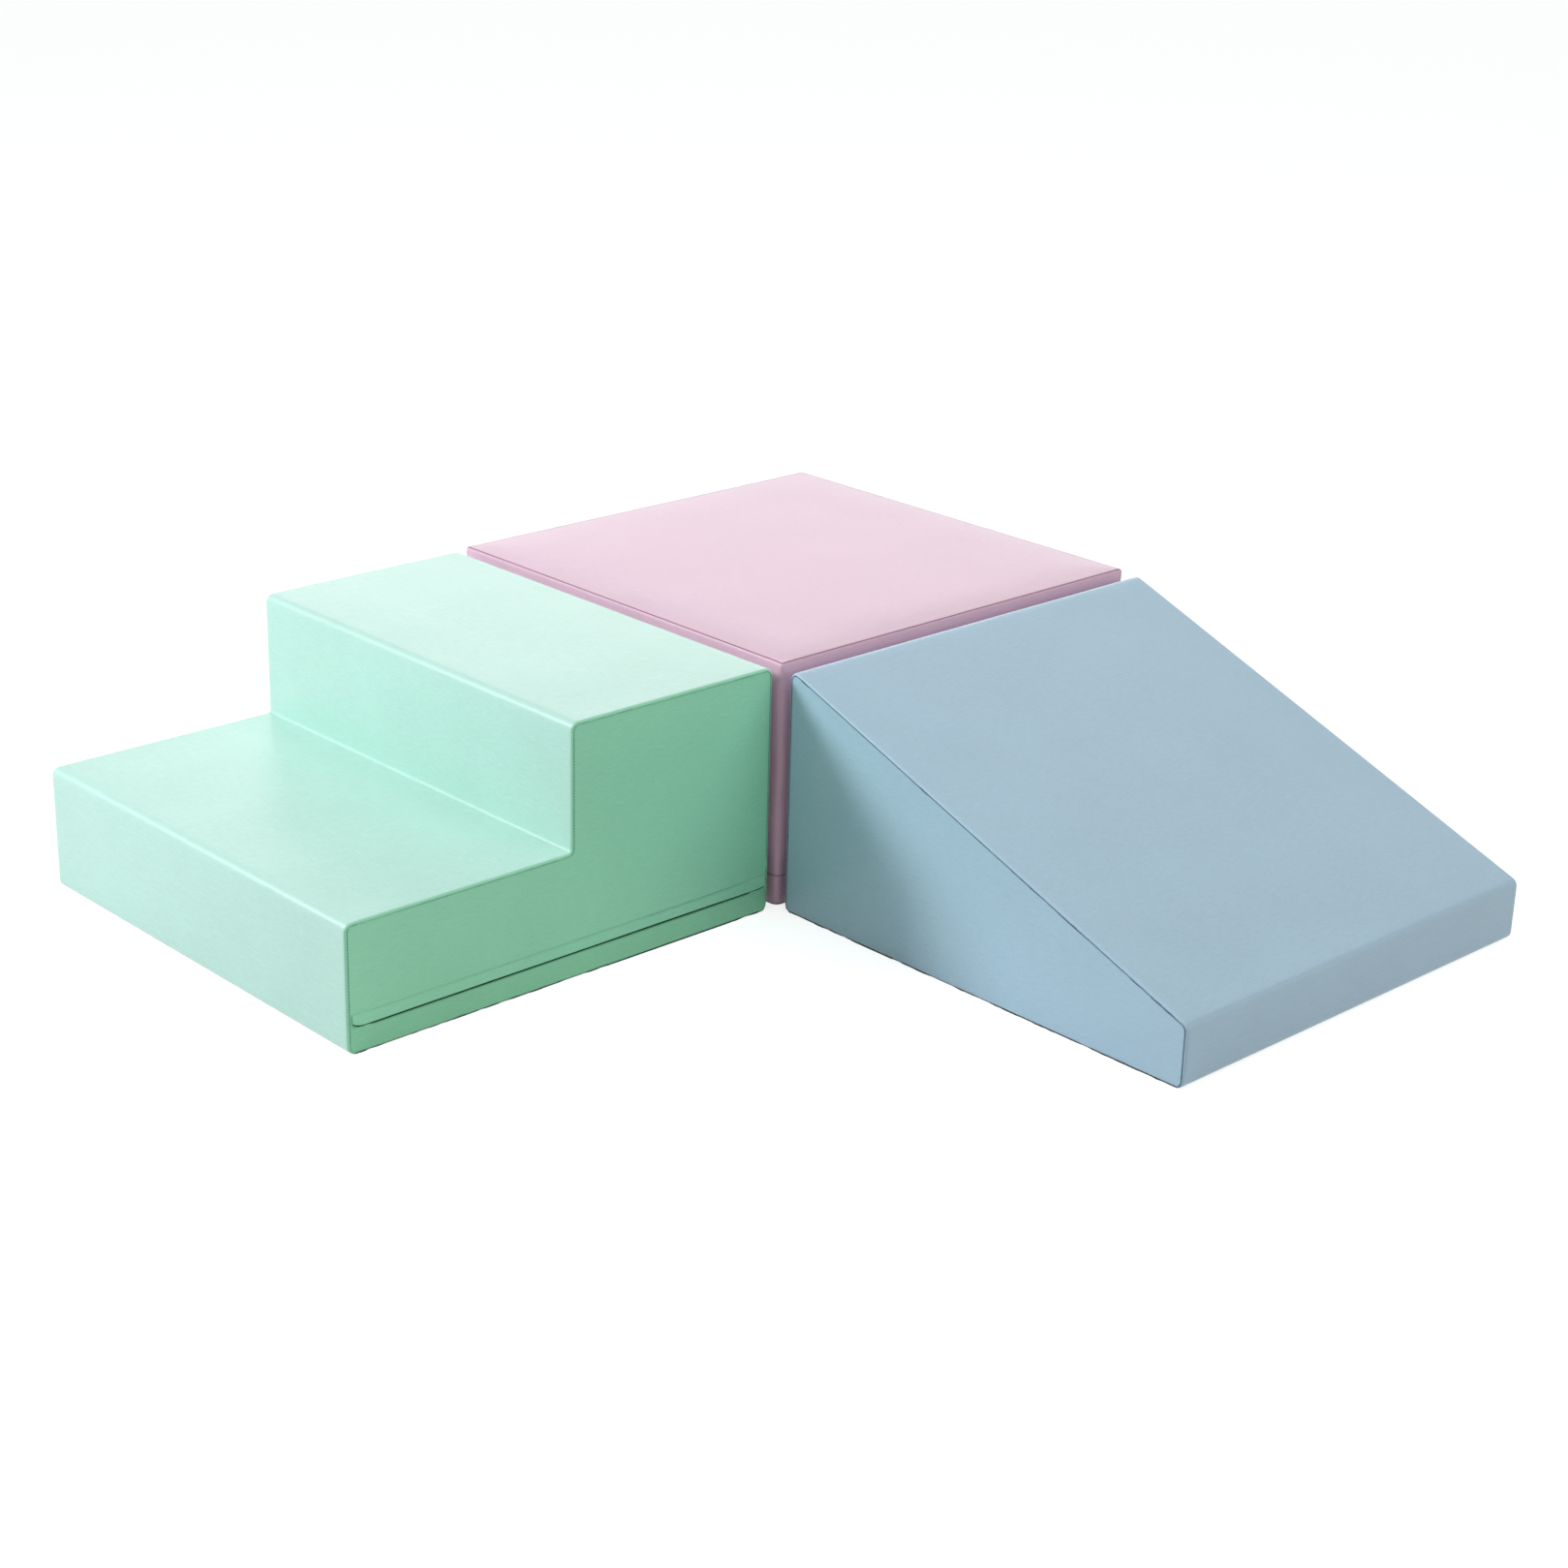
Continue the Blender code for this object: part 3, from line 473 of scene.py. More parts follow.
grain, given, leave = new_group(
    "leatherette_grain",
    {"Colour": (0.5, 0.5, 0.5, 1), "SeamShade": (0.2, 0.2, 0.2, 1), "RimShade": (0.5, 0.5, 0.5, 1)},
    {"Colour": "Color", "Roughness": "Float", "Gloss": "Float", "Height": "Float"},
)
place = object_place(grain)
pebbles = add_node(grain, "TexVoronoi", {"Vector": place, "Scale": 620}, feature="DISTANCE_TO_EDGE")
clouds = add_node(grain, "TexNoise", {"Vector": place, "Scale": 9, "Detail": 3})
ribs = []
for stretch in ((70, 750, 750), (750, 70, 750)):
    longer = add_node(grain, "VectorMath", {0: place, 1: stretch}, operation="MULTIPLY")
    rib = add_node(grain, "TexNoise", {"Vector": longer.outputs[0], "Scale": 1, "Detail": 2})
    ribs.append(rib.outputs["Fac"])
cloth = math_node(grain, "MULTIPLY", math_node(grain, "ADD", *ribs), 0.5)
# Painted shade: in the seams and in a thin line under each flap's free edge, the colour turns to the seam
# shade colour. Along the rolled rims beside the seams it turns to the rim shade colour.
seam_shade_mark = add_node(grain, "Attribute", attribute_name="seam").outputs["Fac"]
# The rim mark lays a painted shade tone along the rolled rims beside the seams.
rim_shade_mark = add_node(grain, "Attribute", attribute_name="rim").outputs["Fac"]
shade = math_node(grain, "MULTIPLY_ADD", clouds.outputs["Fac"], 0.10, -0.05)
speck = math_node(grain, "MULTIPLY_ADD", cloth, 0.36, -0.18)
tone = math_node(grain, "ADD", math_node(grain, "ADD", shade, speck), 1.0)
dyed = mix_colours(grain, rim_shade_mark, given["Colour"], given["RimShade"])
varied = add_node(grain, "HueSaturation", {"Color": dyed, "Value": tone}).outputs[0]
dips = math_node(grain, "MULTIPLY", pebbles.outputs["Distance"], 5.0, clamp=True)
set_inputs(grain, leave, {
    "Colour": mix_colours(grain, math_node(grain, "MULTIPLY", seam_shade_mark, 0.92), varied, given["SeamShade"]),
    "Roughness": math_node(grain, "MULTIPLY_ADD", cloth, 0.16, 0.36),
    "Gloss": math_node(grain, "MULTIPLY_ADD", seam_shade_mark, -0.5, 0.5, clamp=True),
    "Height": math_node(grain, "MULTIPLY_ADD", cloth, 1.6, math_node(grain, "MULTIPLY", dips, 0.5)),
})


def leatherette(name, colour, seam_shade_colour=None, rim=None, sheen=0.25):
    """Leatherette in one dye, with painted shade down in the seams and a painted shade tone along its
    rims. Without sheen it is a matt dark finish for painted shadow."""
    made, tree, skin = new_material(name, {
        "Coat Roughness": 0.38, "Sheen Weight": sheen, "Sheen Roughness": 0.4,
        "Specular IOR Level": 0.3 if sheen else 0.0,
    })
    dyes = {"Colour": (*colour, 1), "SeamShade": (*(seam_shade_colour or colour), 1), "RimShade": (*(rim or colour), 1)}
    pattern = add_node(tree, "Group", dyes, node_tree=grain).outputs
    set_inputs(tree, skin, {"Base Color": pattern["Colour"], "Roughness": pattern["Roughness"]})
    emboss(tree, skin, pattern["Height"], 0.0002, 0.35)
    if sheen:
        set_inputs(tree, skin, {"Coat Weight": pattern["Gloss"]})
    return made


# Non-slip base cloth: black polyester with raised rubber dots in rows. A panel of it is sewn to the foot of
# every block and keeps it from sliding on a smooth floor.

nonslip_base, tree, cloth_skin = new_material("nonslip_base", {"Roughness": 0.8})
dots = add_node(tree, "TexVoronoi", {"Vector": object_place(tree), "Scale": 160, "Randomness": 0.0})
dot_edge = add_node(tree, "ValToRGB", {"Fac": dots.outputs["Distance"]})
for stop, position, colour in zip(dot_edge.color_ramp.elements, (0.30, 0.36), ((1, 1, 1, 1), (0, 0, 0, 1))):
    stop.position, stop.color = position, colour
dot_mark = dot_edge.outputs["Color"]
dot_colour = mix_colours(tree, dot_mark, (0.055, 0.062, 0.050, 1), (0.02, 0.02, 0.02, 1))
set_inputs(tree, cloth_skin, {"Base Color": dot_colour})
emboss(tree, cloth_skin, dot_mark, 0.0006)


# Steps cover: one panel wraps front, lower tread, riser and top; side, back and base panels close it. The
# panels are sewn inside out, turned and stuffed with foam, so faces crown and edges roll into the seams.

# The wrap's seam colour is a deeper green for painted shade down its seams, and its rim colour lays the green
# of the shaded sides along its rolled rims as painted shade.
mint_leatherette = leatherette(
    "mint_leatherette", (0.545, 0.83, 0.73), (0.05, 0.36, 0.15), (0.42, 0.92, 0.64)
)
# A more saturated, deeper green copy of the mint dye for the side panels: painted shade.
mint_side_painted_shade_leatherette = leatherette("mint_side_painted_shade_leatherette", (0.38, 0.87, 0.58), (0.008, 0.085, 0.03))
# A darker copy again for the lower band under the flap: painted shade.
mint_band_painted_shade_leatherette = leatherette("mint_band_painted_shade_leatherette", (0.32, 0.79, 0.49), (0.008, 0.085, 0.03))
cover_thickness = 0.0012
edge_radius, seam_inset, fold_radius, base_seam = 0.010, 0.0060, 0.0032, 0.0016
seam_depth, lip_depth, crease_depth = 0.0006, 0.0008, 0.0003
side_crown, fold_reach, seam_hold = 0.003, 0.008, 0.003
ramp_length, ramp_width, ramp_back, ramp_middle = 0.609, 0.600, -0.0033, 0.30705
platform_width, platform_middle = 0.600, (0.30705, 0.3108)
zip_faces = {
    "steps": (steps_back - steps_length / 2, steps_middle - steps_width / 2, 0.0),
    "ramp": (ramp_middle + ramp_width / 2, ramp_back - ramp_length / 2, math.pi / 2),
    "platform": (platform_middle[0], platform_middle[1] + platform_width / 2, math.pi),
}
faces = {}
for block, (x, y, turn) in zip_faces.items():
    faces[block] = Matrix.Translation((x, y, 0)) @ Matrix.Rotation(turn, 4, "Z")
band_heights = {"steps": 0.030, "ramp": 0.030, "platform": 0.037}
coil_halves = {"steps": 0.250, "ramp": 0.2545, "platform": 0.250}
flap_halves = {"steps": 0.2935, "ramp": 0.2980, "platform": 0.2828}
flap_height, flap_hang, flap_room = 0.016, 0.0157, 0.0012
opening_margin = 0.017


def room_for_flap(block, spot):
    """Moves a point of the cover that lies behind a zip flap in by the thickness of the flap."""
    x, depth, z = faces[block].inverted() @ Vector(spot)
    on_face = abs(depth) < 0.003 and abs(x) < flap_halves[block] + 0.001
    behind = on_face and 0.0003 < z - band_heights[block] < flap_hang + 0.0001
    return faces[block] @ Vector((x, depth + flap_room * behind, z))


def positions(mesh):
    spots = np.empty(len(mesh.vertices) * 3)
    mesh.vertices.foreach_get("co", spots)
    return spots.reshape(-1, 3)


def seam_edges(mesh):
    """Edges where two different panels meet, each with the pair of panel numbers."""
    sides = {}
    for face in mesh.polygons:
        for key in face.edge_keys:
            sides.setdefault(key, set()).add(face.material_index)
    return {key: frozenset(found) for key, found in sides.items() if len(found) > 1}


def distance_to_seams(mesh, seams):
    """How far each point of a mesh is from the nearest of some edges."""
    spots = positions(mesh)
    samples = []
    for a, b in seams:
        pieces = max(1, int(np.linalg.norm(spots[b] - spots[a]) / 0.0015))
        samples += [spots[a] + (spots[b] - spots[a]) * i / pieces for i in range(pieces + 1)]
    tree = kdtree.KDTree(len(samples))
    for i, spot in enumerate(samples):
        tree.insert(spot, i)
    tree.balance()
    return np.array([tree.find(spot)[2] for spot in spots])


def inflate(skin, pinned, room):
    """Foam presses the sewn cover outward. Seams hold still, and each face moves as far as it has room."""
    mesh = skin.data
    rest = positions(mesh)
    sewn = skin.vertex_groups.new(name="sewn")
    sewn.add([int(i) for i in np.flatnonzero(pinned)], 1.0, "REPLACE")
    cloth = skin.modifiers.new("cloth", "CLOTH")
    cloth.settings.vertex_group_mass = "sewn"
    cloth.settings.use_pressure = True
    cloth.settings.uniform_pressure_force = 4
    cloth.settings.effector_weights.gravity = 0
    cloth.point_cache.frame_start = 1
    cloth.point_cache.frame_end = 20
    for step in range(1, 21):
        bpy.context.scene.frame_set(step)
    shaped = skin.evaluated_get(bpy.context.evaluated_depsgraph_get()).to_mesh()
    moved = positions(shaped) - rest
    skin.modifiers.remove(cloth)
    skin.vertex_groups.clear()
    bpy.context.scene.frame_set(1)
    far = np.maximum(np.linalg.norm(moved, axis=1), 1e-9)
    limit = 0.5 * room + 0.0006
    mesh.vertices.foreach_set("co", (rest + moved * (limit * np.tanh(far / limit) / far)[:, None]).ravel())


def refine(skin):
    """One round of subdivision, applied."""
    smooth = skin.modifiers.new("smooth", "SUBSURF")
    smooth.levels = smooth.render_levels = 1
    finer = bpy.data.meshes.new_from_object(skin.evaluated_get(bpy.context.evaluated_depsgraph_get()))
    skin.modifiers.remove(smooth)
    skin.data = finer
    return finer


def sink_seams(mesh, seams, creases, lip, seam_shade_strength):
    """Pulls the cover into its seams, rolls it beside them, and lets it wander a little in between. creases
    are the pairs of panels that only meet in a shallow line, lip the pair that meets under the flap's free
    edge, and the last argument how dark the painted shade down in the seams is. The seam mark holds that
    painted shade and a thin line of painted shadow under the flap's free edge. The rim mark holds where a
    painted shade tone lies along the rolled rims."""
    away = distance_to_seams(mesh, [key for key, pair in seams.items() if pair not in (*creases, lip)])
    beside_crease = distance_to_seams(mesh, [key for key, pair in seams.items() if pair in creases])
    spots = positions(mesh)
    lips = [key for key, pair in seams.items() if pair == lip]
    lowest = min(spots[a][2] for a, b in lips)
    lowest_lips = [(a, b) for a, b in lips if max(spots[a][2], spots[b][2]) < lowest + 0.002]
    under_flap = distance_to_seams(mesh, lowest_lips)
    facing = np.array([v.normal for v in mesh.vertices])
    drift = np.array([noise.noise(Vector(p) * 9) for p in spots])
    seam_line, flap_groove_and_shadow = np.exp(-((away / 0.0005) ** 2)), np.exp(-((under_flap / 0.0014) ** 2))
    crease_line = np.exp(-((beside_crease / 0.0008) ** 2))
    groove = -np.maximum(seam_depth * seam_line, lip_depth * flap_groove_and_shadow) - crease_depth * crease_line
    roll_up = 0.00015 * np.exp(-(((away - 0.0036) / 0.0018) ** 2))
    loose = 0.0006 * drift * (1 - np.exp(-((away / 0.02) ** 2)))
    loose[facing[:, 2] < -0.7] = 0
    mesh.vertices.foreach_set("co", (spots + facing * (groove + roll_up + loose)[:, None]).ravel())
    # Painted shade in the seams, painted shadow under the flap's free edge, and the reach of the painted
    # shade tone along the rims.
    for key, values in (
        ("seam", np.maximum(seam_shade_strength * seam_line, flap_groove_and_shadow)),
        ("rim", np.exp(-((away / 0.0038) ** 4))),
        ("sunk", -groove),
    ):
        mesh.attributes.new(key, "FLOAT", "POINT").data.foreach_set("value", values.astype(np.float32))


def seam_paths(mesh, seams, names, kinds):
    """The seams between the named pairs of panels, as ordered rows of points with their outward direction."""
    wanted = [frozenset(names.index(n) for n in pair) for pair in kinds]
    joined = {}
    for (a, b), pair in seams.items():
        if pair in wanted:
            joined.setdefault(a, []).append(b)
            joined.setdefault(b, []).append(a)
    found = []
    while joined:
        tips = [v for v, around in joined.items() if len(around) == 1]
        spot = min(tips or joined)
        row = [spot]
        while joined.get(spot):
            ahead = joined[spot].pop()
            joined[ahead].remove(spot)
            if not joined[spot]:
                del joined[spot]
            row.append(ahead)
            spot = ahead
        joined.pop(spot, None)
        found.append([(mesh.vertices[v].co.copy(), mesh.vertices[v].normal.copy()) for v in row])
    return [row for row in found if len(row) > 2]


def cut_panel(name, skin, number, finish, body):
    """One panel of the skin as its own closed piece of cover, as thick as the cloth."""
    mesh = skin.data
    spots = positions(mesh)
    facing = np.array([v.normal for v in mesh.vertices])
    values = {key: np.empty(len(mesh.vertices), np.float32) for key in ("seam", "rim", "sunk")}
    for key, column in values.items():
        mesh.attributes[key].data.foreach_get("value", column)
    inner_skin = spots - facing * np.maximum(0.0002, cover_thickness - values["sunk"])[:, None]
    chosen = [list(face.vertices) for face in mesh.polygons if face.material_index == number]
    used = sorted({v for face in chosen for v in face})
    index = {v: i for i, v in enumerate(used)}
    count = len(used)
    outer = [[index[v] for v in face] for face in chosen]
    inner = [[i + count for i in reversed(face)] for face in outer]
    once = {}
    for face in outer:
        for a, b in zip(face, face[1:] + face[:1]):
            if (b, a) in once:
                del once[(b, a)]
            else:
                once[(a, b)] = True
    hem = [[b, a, a + count, b + count] for a, b in once]
    panel = bpy.data.meshes.new(name)
    panel.from_pydata(np.concatenate((spots[used], inner_skin[used])).tolist(), [], outer + inner + hem)
    panel.materials.append(finish)
    panel.shade_smooth()
    panel.set_sharp_from_angle(angle=math.radians(50))
    for key in ("seam", "rim"):
        kept = panel.attributes.new(key, "FLOAT", "POINT")
        kept.data.foreach_set("value", np.tile(values[key][used], 2))
    piece = add_object(name, panel)
    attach(piece, body)
    return piece


def finish_cover(block, built, creases, seam_shade_strength, stitched, panels):
    """Stuffs a sewn skin, sinks its seams and cuts it into its panels. creases are the pairs of panels that
    meet over the flap, stitched the pairs whose seams show thread, and panels the label and the finish of
    each panel. Returns the paths of the stitched seams."""
    skin, names, room, held = built
    away = distance_to_seams(skin.data, seam_edges(skin.data))
    low = positions(skin.data)[:, 2] < band_heights[block] + flap_height + 0.0005
    inflate(skin, (away < seam_hold) | low | held, room)
    mesh = refine(skin)
    seams = seam_edges(mesh)
    shallow = [frozenset(names.index(part) for part in pair) for pair in creases]
    sink_seams(mesh, seams, shallow, frozenset((names.index("flap"), names.index("band"))), seam_shade_strength)
    paths = seam_paths(mesh, seams, names, stitched)
    for part, (label, finish) in panels.items():
        piece = cut_panel(f"{block}_cover_{label}", skin, names.index(part), finish, block)
        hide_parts(f"{block}_{label}")
    bpy.data.objects.remove(skin)
    return paths


def sew_block(block, corners, radii, crowns, width, to_world, fold_corner, seam_shade_strength, panels):
    """The cover of a block whose outline runs from side to side. The first corner is the bottom of the front
    and the last the bottom of the back. At fold_corner, if there is one, the cover only folds."""
    last = len(corners) - 1
    fine = {(0, "start"), (last - 1, "end"), (last, "end")}
    hem_line = band_heights[block]
    sewn_line = hem_line + flap_height
    levels = [z + d for z in (hem_line, sewn_line) for d in (*(-d for d in near_seam), 0.0, *near_seam)]
    marks = {0: [Vector((0, z)) for z in levels], last - 1: [Vector((0, z)) for z in levels]}
    stations = walk_outline(corners, radii, crowns, [seam_inset] * last + [base_seam], fine, marks)
    edges = [s[4] for s in stations]
    wrap_end = edges.index(last - 1)
    back_end = edges.index(last)
    folds = {i for i, e in enumerate(edges) if fold_corner is not None and fold_corner - 1 <= e <= fold_corner
             and (stations[i][0] - corners[fold_corner]).length < fold_reach}
    middle, reach = corners[0].x / 2, coil_halves[block] + opening_margin
    opening = (middle - reach, middle + reach)

    def panel_of(station, row, middle):
        if middle is None:
            return "wrap" if station < wrap_end else "back" if station < back_end else "base"
        if row:
            return "plain"
        if middle[1] > sewn_line:
            return "side"
        return "flap" if middle[1] > hem_line and opening[0] < middle[0] < opening[1] else "band"

    def placed(*spot):
        return room_for_flap(block, to_world(*spot))

    ends = [(side_crown, crown_reach, levels), (side_crown, crown_reach, ())]
    rows = side_rows(width, seam_inset, fold_radius)
    built = build_skin(f"{block}_skin", stations, rows, placed, ends, crowns, panel_of, folds, posts=opening)
    stitched = [("wrap", "side"), ("wrap", "band"), ("wrap", "plain"), ("back", "side"), ("back", "band"),
                ("back", "plain"), ("wrap", "back")]
    return finish_cover(block, built, [("side", "flap"), ("side", "band")], seam_shade_strength, stitched, panels)


steps_corners = [Vector(c) for c in (
    (-steps_length, 0), (-steps_length, tread_height), (tread_end, tread_height), (tread_end, block_height),
    (0, block_height), (0, 0),
)]
steps_radii = [edge_radius, edge_radius, 0.004, edge_radius, edge_radius, edge_radius]
steps_crowns = [0.003, 0.003, 0.003, 0.003, 0.0045, 0.0]
steps_panels = {
    "wrap": ("wrap_panel", mint_leatherette),
    "back": ("back_panel", mint_leatherette),
    "base": ("base_panel", nonslip_base),
    "side": ("near_side_panel", mint_side_painted_shade_leatherette),
    "band": ("near_lower_band", mint_band_painted_shade_leatherette),
    "plain": ("far_side_panel", mint_side_painted_shade_leatherette),
}
steps_paths = sew_block("steps", steps_corners, steps_radii, steps_crowns, steps_width, steps_place, 2, 0.35,
                        steps_panels)


# Ramp: one foam wedge in a blue cover. One panel wraps the slope and the toe, and side, back and base panels
# close it. It is sewn like the cover of the steps, with its zip on the far side.

toe_height = 0.074
# Its seam colour is darker for painted shade down in the seams.
blue_leatherette = leatherette("blue_leatherette", (0.478, 0.66, 0.81), (0.03, 0.07, 0.13))


def ramp_place(x, z, y):
    return (ramp_middle - y, x + ramp_back, z)


ramp_corners = [Vector(c) for c in ((-ramp_length, 0), (-ramp_length, toe_height), (0, block_height), (0, 0))]
foam_slab("ramp_foam_wedge", ramp_corners, ramp_width, ramp_place, "ramp",
          ((0.5995, -0.579, 0.017), (0.62, -0.036, 0.057)))
ramp_crowns = [0.0015, 0.003, 0.0045, 0.0]
ramp_panels = {
    "wrap": ("wrap_panel", blue_leatherette),
    "back": ("back_panel", blue_leatherette),
    "base": ("base_panel", nonslip_base),
    "side": ("far_side_panel", blue_leatherette),
    "band": ("far_lower_band", blue_leatherette),
    "plain": ("near_side_panel", blue_leatherette),
}
ramp_paths = sew_block("ramp", ramp_corners, [edge_radius] * 4, ramp_crowns, ramp_width, ramp_place, None,
                       0.9, ramp_panels)


# Platform: two glued foam slabs in a pink cover, sewn from a square top panel, a border band round the four
# sides, a lower band under the zip and a base panel. The zip is at the back.

platform_half = platform_width / 2
platform_layer = 0.152
top_fold, top_turn, top_seam_angle, top_reach = 0.2960, 0.0070, math.radians(68), 0.060
platform_opening_half = 0.2665
# Its seam colours are darker for painted shade in the seams. The side cover is a lighter, pinker copy of the
# top's dye: painted light on the sides.
pink_leatherette = leatherette("pink_leatherette", (0.76, 0.485, 0.61), (0.17, 0.04, 0.09))
pink_side_painted_light_leatherette = leatherette("pink_side_painted_light_leatherette", (0.87, 0.53, 0.68), (0.17, 0.03, 0.08))


def platform_place(x, y, z):
    return (x + platform_middle[0], y + platform_middle[1], z)


def platform_slab_place(x, z, y):
    return platform_place(x, y, z)


lower_slab = rectangle_outline(-platform_half, 0, platform_half, platform_layer)
upper_slab = rectangle_outline(-platform_half, glued_on(platform_layer), platform_half, block_height)
zip_pocket = ((0.041, 0.6035, 0.024), (0.573, 0.63, 0.064))
for label, outline, pocket in (("lower", lower_slab, zip_pocket), ("upper", upper_slab, None)):
    foam_slab(f"platform_foam_{label}", outline, platform_width, platform_slab_place, "platform", pocket,
              edge=0.011)

lower_seam = band_heights["platform"]
flap_seam = lower_seam + flap_height
platform_corners = [Vector(c) * platform_half for c in ((-1, -1), (-1, 1), (1, 1), (1, -1))]
platform_crowns = [0.0045, 0.003, 0.003, 0.0045]
zip_ends = [Vector((x, platform_half)) for x in (-platform_opening_half, platform_opening_half)]
platform_stations = walk_outline(
    platform_corners, [edge_radius] * 4, platform_crowns, [1.0] * 4, set(), {1: zip_ends}
)
platform_rows = []
for share in (1.0, 0.7, 0.4, 0.15, 0.0):
    angle = math.pi / 2 * share
    platform_rows.append((base_seam * (1 - math.cos(angle)), base_seam * (1 - math.sin(angle)), 0.0, 0.0))
for low, high, marks in ((base_seam, lower_seam, []), (lower_seam, top_fold, [flap_seam - lower_seam])):
    for d in spread(high - low, True, low < lower_seam, marks):
        share = (low + d - flap_seam) / (top_fold - flap_seam)
        sharp = max(0.0, 1 - (top_fold - low - d) / 0.03)
        platform_rows.append((0.0, low + d, crown(share) if share > 0 else 0.0, 0.6 * sharp * sharp))
beside_top_seam = [top_seam_angle + d / top_turn for d in (-0.0017, -0.0007, 0.0, 0.0007, 0.0017)]
for angle in (0.35, 0.7, *beside_top_seam, math.pi / 2):
    inset, height = top_turn * (1 - math.cos(angle)), top_fold + top_turn * math.sin(angle)
    platform_rows.append((inset, height, 0.0, 0.6 + 0.15 * angle))
top_seam = top_fold + top_turn * math.sin(top_seam_angle)


def platform_panel_of(station, row, middle):
    if station is None or middle is not None:
        return "top" if row else "base"
    low = platform_rows[row][1]
    if low < base_seam - 1e-6:
        return "base"
    if low < lower_seam - 1e-6:
        return "band"
    if low > top_seam - 1e-6:
        return "top"
    spot = platform_stations[station][0]
    ahead = platform_stations[(station + 1) % len(platform_stations)][0]
    at_zip = spot.y > platform_half - 1e-6 and abs((spot.x + ahead.x) / 2) < platform_opening_half
    return "flap" if at_zip and low < flap_seam - 1e-6 else "border"


def platform_placed(x, y, z):
    return room_for_flap("platform", platform_place(x, y, z))


platform_ends = [(0.0, crown_reach, ()), (side_crown, top_reach, ())]
platform_built = build_skin("platform_skin", platform_stations, platform_rows, platform_placed, platform_ends,
                            platform_crowns, platform_panel_of, corner=edge_radius)
platform_panels = {
    "top": ("top_panel", pink_leatherette),
    "border": ("border_band", pink_side_painted_light_leatherette),
    "band": ("lower_band", pink_side_painted_light_leatherette),
    "base": ("base_panel", nonslip_base),
}
platform_stitched = [("top", "border"), ("border", "band")]
platform_paths = finish_cover("platform", platform_built, [("border", "flap")], 0.8, platform_stitched,
                              platform_panels)


# Zip flaps: a double strip of the cover that hangs over each zip. A dark strip along its free edge is painted
# shadow, the shade under the flap. It is sewn on along its top edge. Its ends are caught up a little.

covers = {"steps": mint_side_painted_shade_leatherette, "ramp": blue_leatherette, "platform": pink_side_painted_light_leatherette}
# Dark matt finishes for the under-lip along each flap's free edge: painted shadow.
flap_painted_shadows = {
    "steps": leatherette("mint_flap_painted_shadow", (0.004, 0.075, 0.020), sheen=0.0),
    "ramp": leatherette("blue_flap_painted_shadow", (0.02, 0.05, 0.10), sheen=0.0),
    "platform": leatherette("pink_flap_painted_shadow", (0.12, 0.03, 0.07), sheen=0.0),
}
colours = {"steps": "mint", "ramp": "blue", "platform": "pink"}


def solid_from(name, places, polygons, finish, body, slot_name, node=None):
    """A piece from its points and faces. It rides on a body and stands for a CAD node where it has them."""
    mesh = bpy.data.meshes.new(name)
    mesh.from_pydata([tuple(p) for p in places], [], polygons)
    mesh.materials.append(finish)
    turn_outward(mesh)
    mesh.shade_smooth()
    mesh.set_sharp_from_angle(angle=math.radians(40))
    piece = add_object(name, mesh)
    if body:
        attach(piece, body)
    if node:
        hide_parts(node)
    return piece


def sweep_faces(rings, count):
    """Faces of a closed bar made of rings with the same number of points."""
    polygons = []
    for r in range(rings - 1):
        for i in range(count):
            k = (i + 1) % count
            polygons.append([r * count + i, r * count + k, (r + 1) * count + k, (r + 1) * count + i])
    polygons.append(list(range(count))[::-1])
    polygons.append([(rings - 1) * count + i for i in range(count)])
    return polygons


flap_drop = 0.0166
flap_section = [
    (0.0003, 0.0), (-0.0002, -0.0007), (-0.0004, -0.0015), (-0.0006, -0.0024), (-0.0008, -0.0034),
    (-0.0009, -0.0045), (-0.0011, -0.0065), (-0.0014, -0.0095), (-0.0016, -0.0120), (-0.0017, -0.0132),
    (-0.0014, -0.0142), (-0.0008, -0.0146), (-0.0004, -0.0147), (-0.0004, -0.0162), (0.0000, -flap_drop),
    (0.0004, -0.0162), (0.0006, -0.0145), (0.0008, -0.0110), (0.0009, -0.0075), (0.0009, -0.0050),
    (0.0009, -0.0036), (0.0009, -0.0024), (0.0009, -0.0013), (0.0009, -0.0004),
]
painted_shadow_sides = (12, 13, 14, 15)
slices = 120
for block, half_flap in flap_halves.items():
    hinge = band_heights[block] + flap_hang
    places = []
    for i in range(slices + 1):
        x = -half_flap + 2 * half_flap * i / slices
        caught = 0.0
        if block != "platform":
            caught = max(0.0, 1 - (x + half_flap) / 0.016, 0.6 - (half_flap - x) / 0.03)
        for depth, drop in flap_section:
            share = -drop / flap_drop
            wave = 0.0003 * share * noise.noise(Vector((x * 14, hinge * 50, 0.3)))
            lift = (0.0048 * caught * caught + 0.0010 * noise.noise(Vector((x * 5, hinge * 40, 4.7)))) * share
            places.append(faces[block] @ Vector((x, depth + wave, hinge + drop + lift)))
    polygons = sweep_faces(slices + 1, len(flap_section))
    strip = solid_from(f"{block}_zip_flap_strip", places, polygons, covers[block], None,
                       f"{colours[block]}_leatherette", f"{block}_zip_flap")
    # The under-lip faces take the painted shadow.
    strip.data.materials.append(flap_painted_shadows[block])
    side_count = slices * len(flap_section)
    painted_shadow_faces = [k % len(flap_section) in painted_shadow_sides and k < side_count for k in range(len(polygons))]
    strip.data.polygons.foreach_set("material_index", painted_shadow_faces)
    sewn, free = faces[block] @ Vector((0, 0, hinge - 0.0002)), faces[block] @ Vector((0, 0, hinge - 0.0046))
    tuple(sewn)
    tuple(free)
    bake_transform(strip)


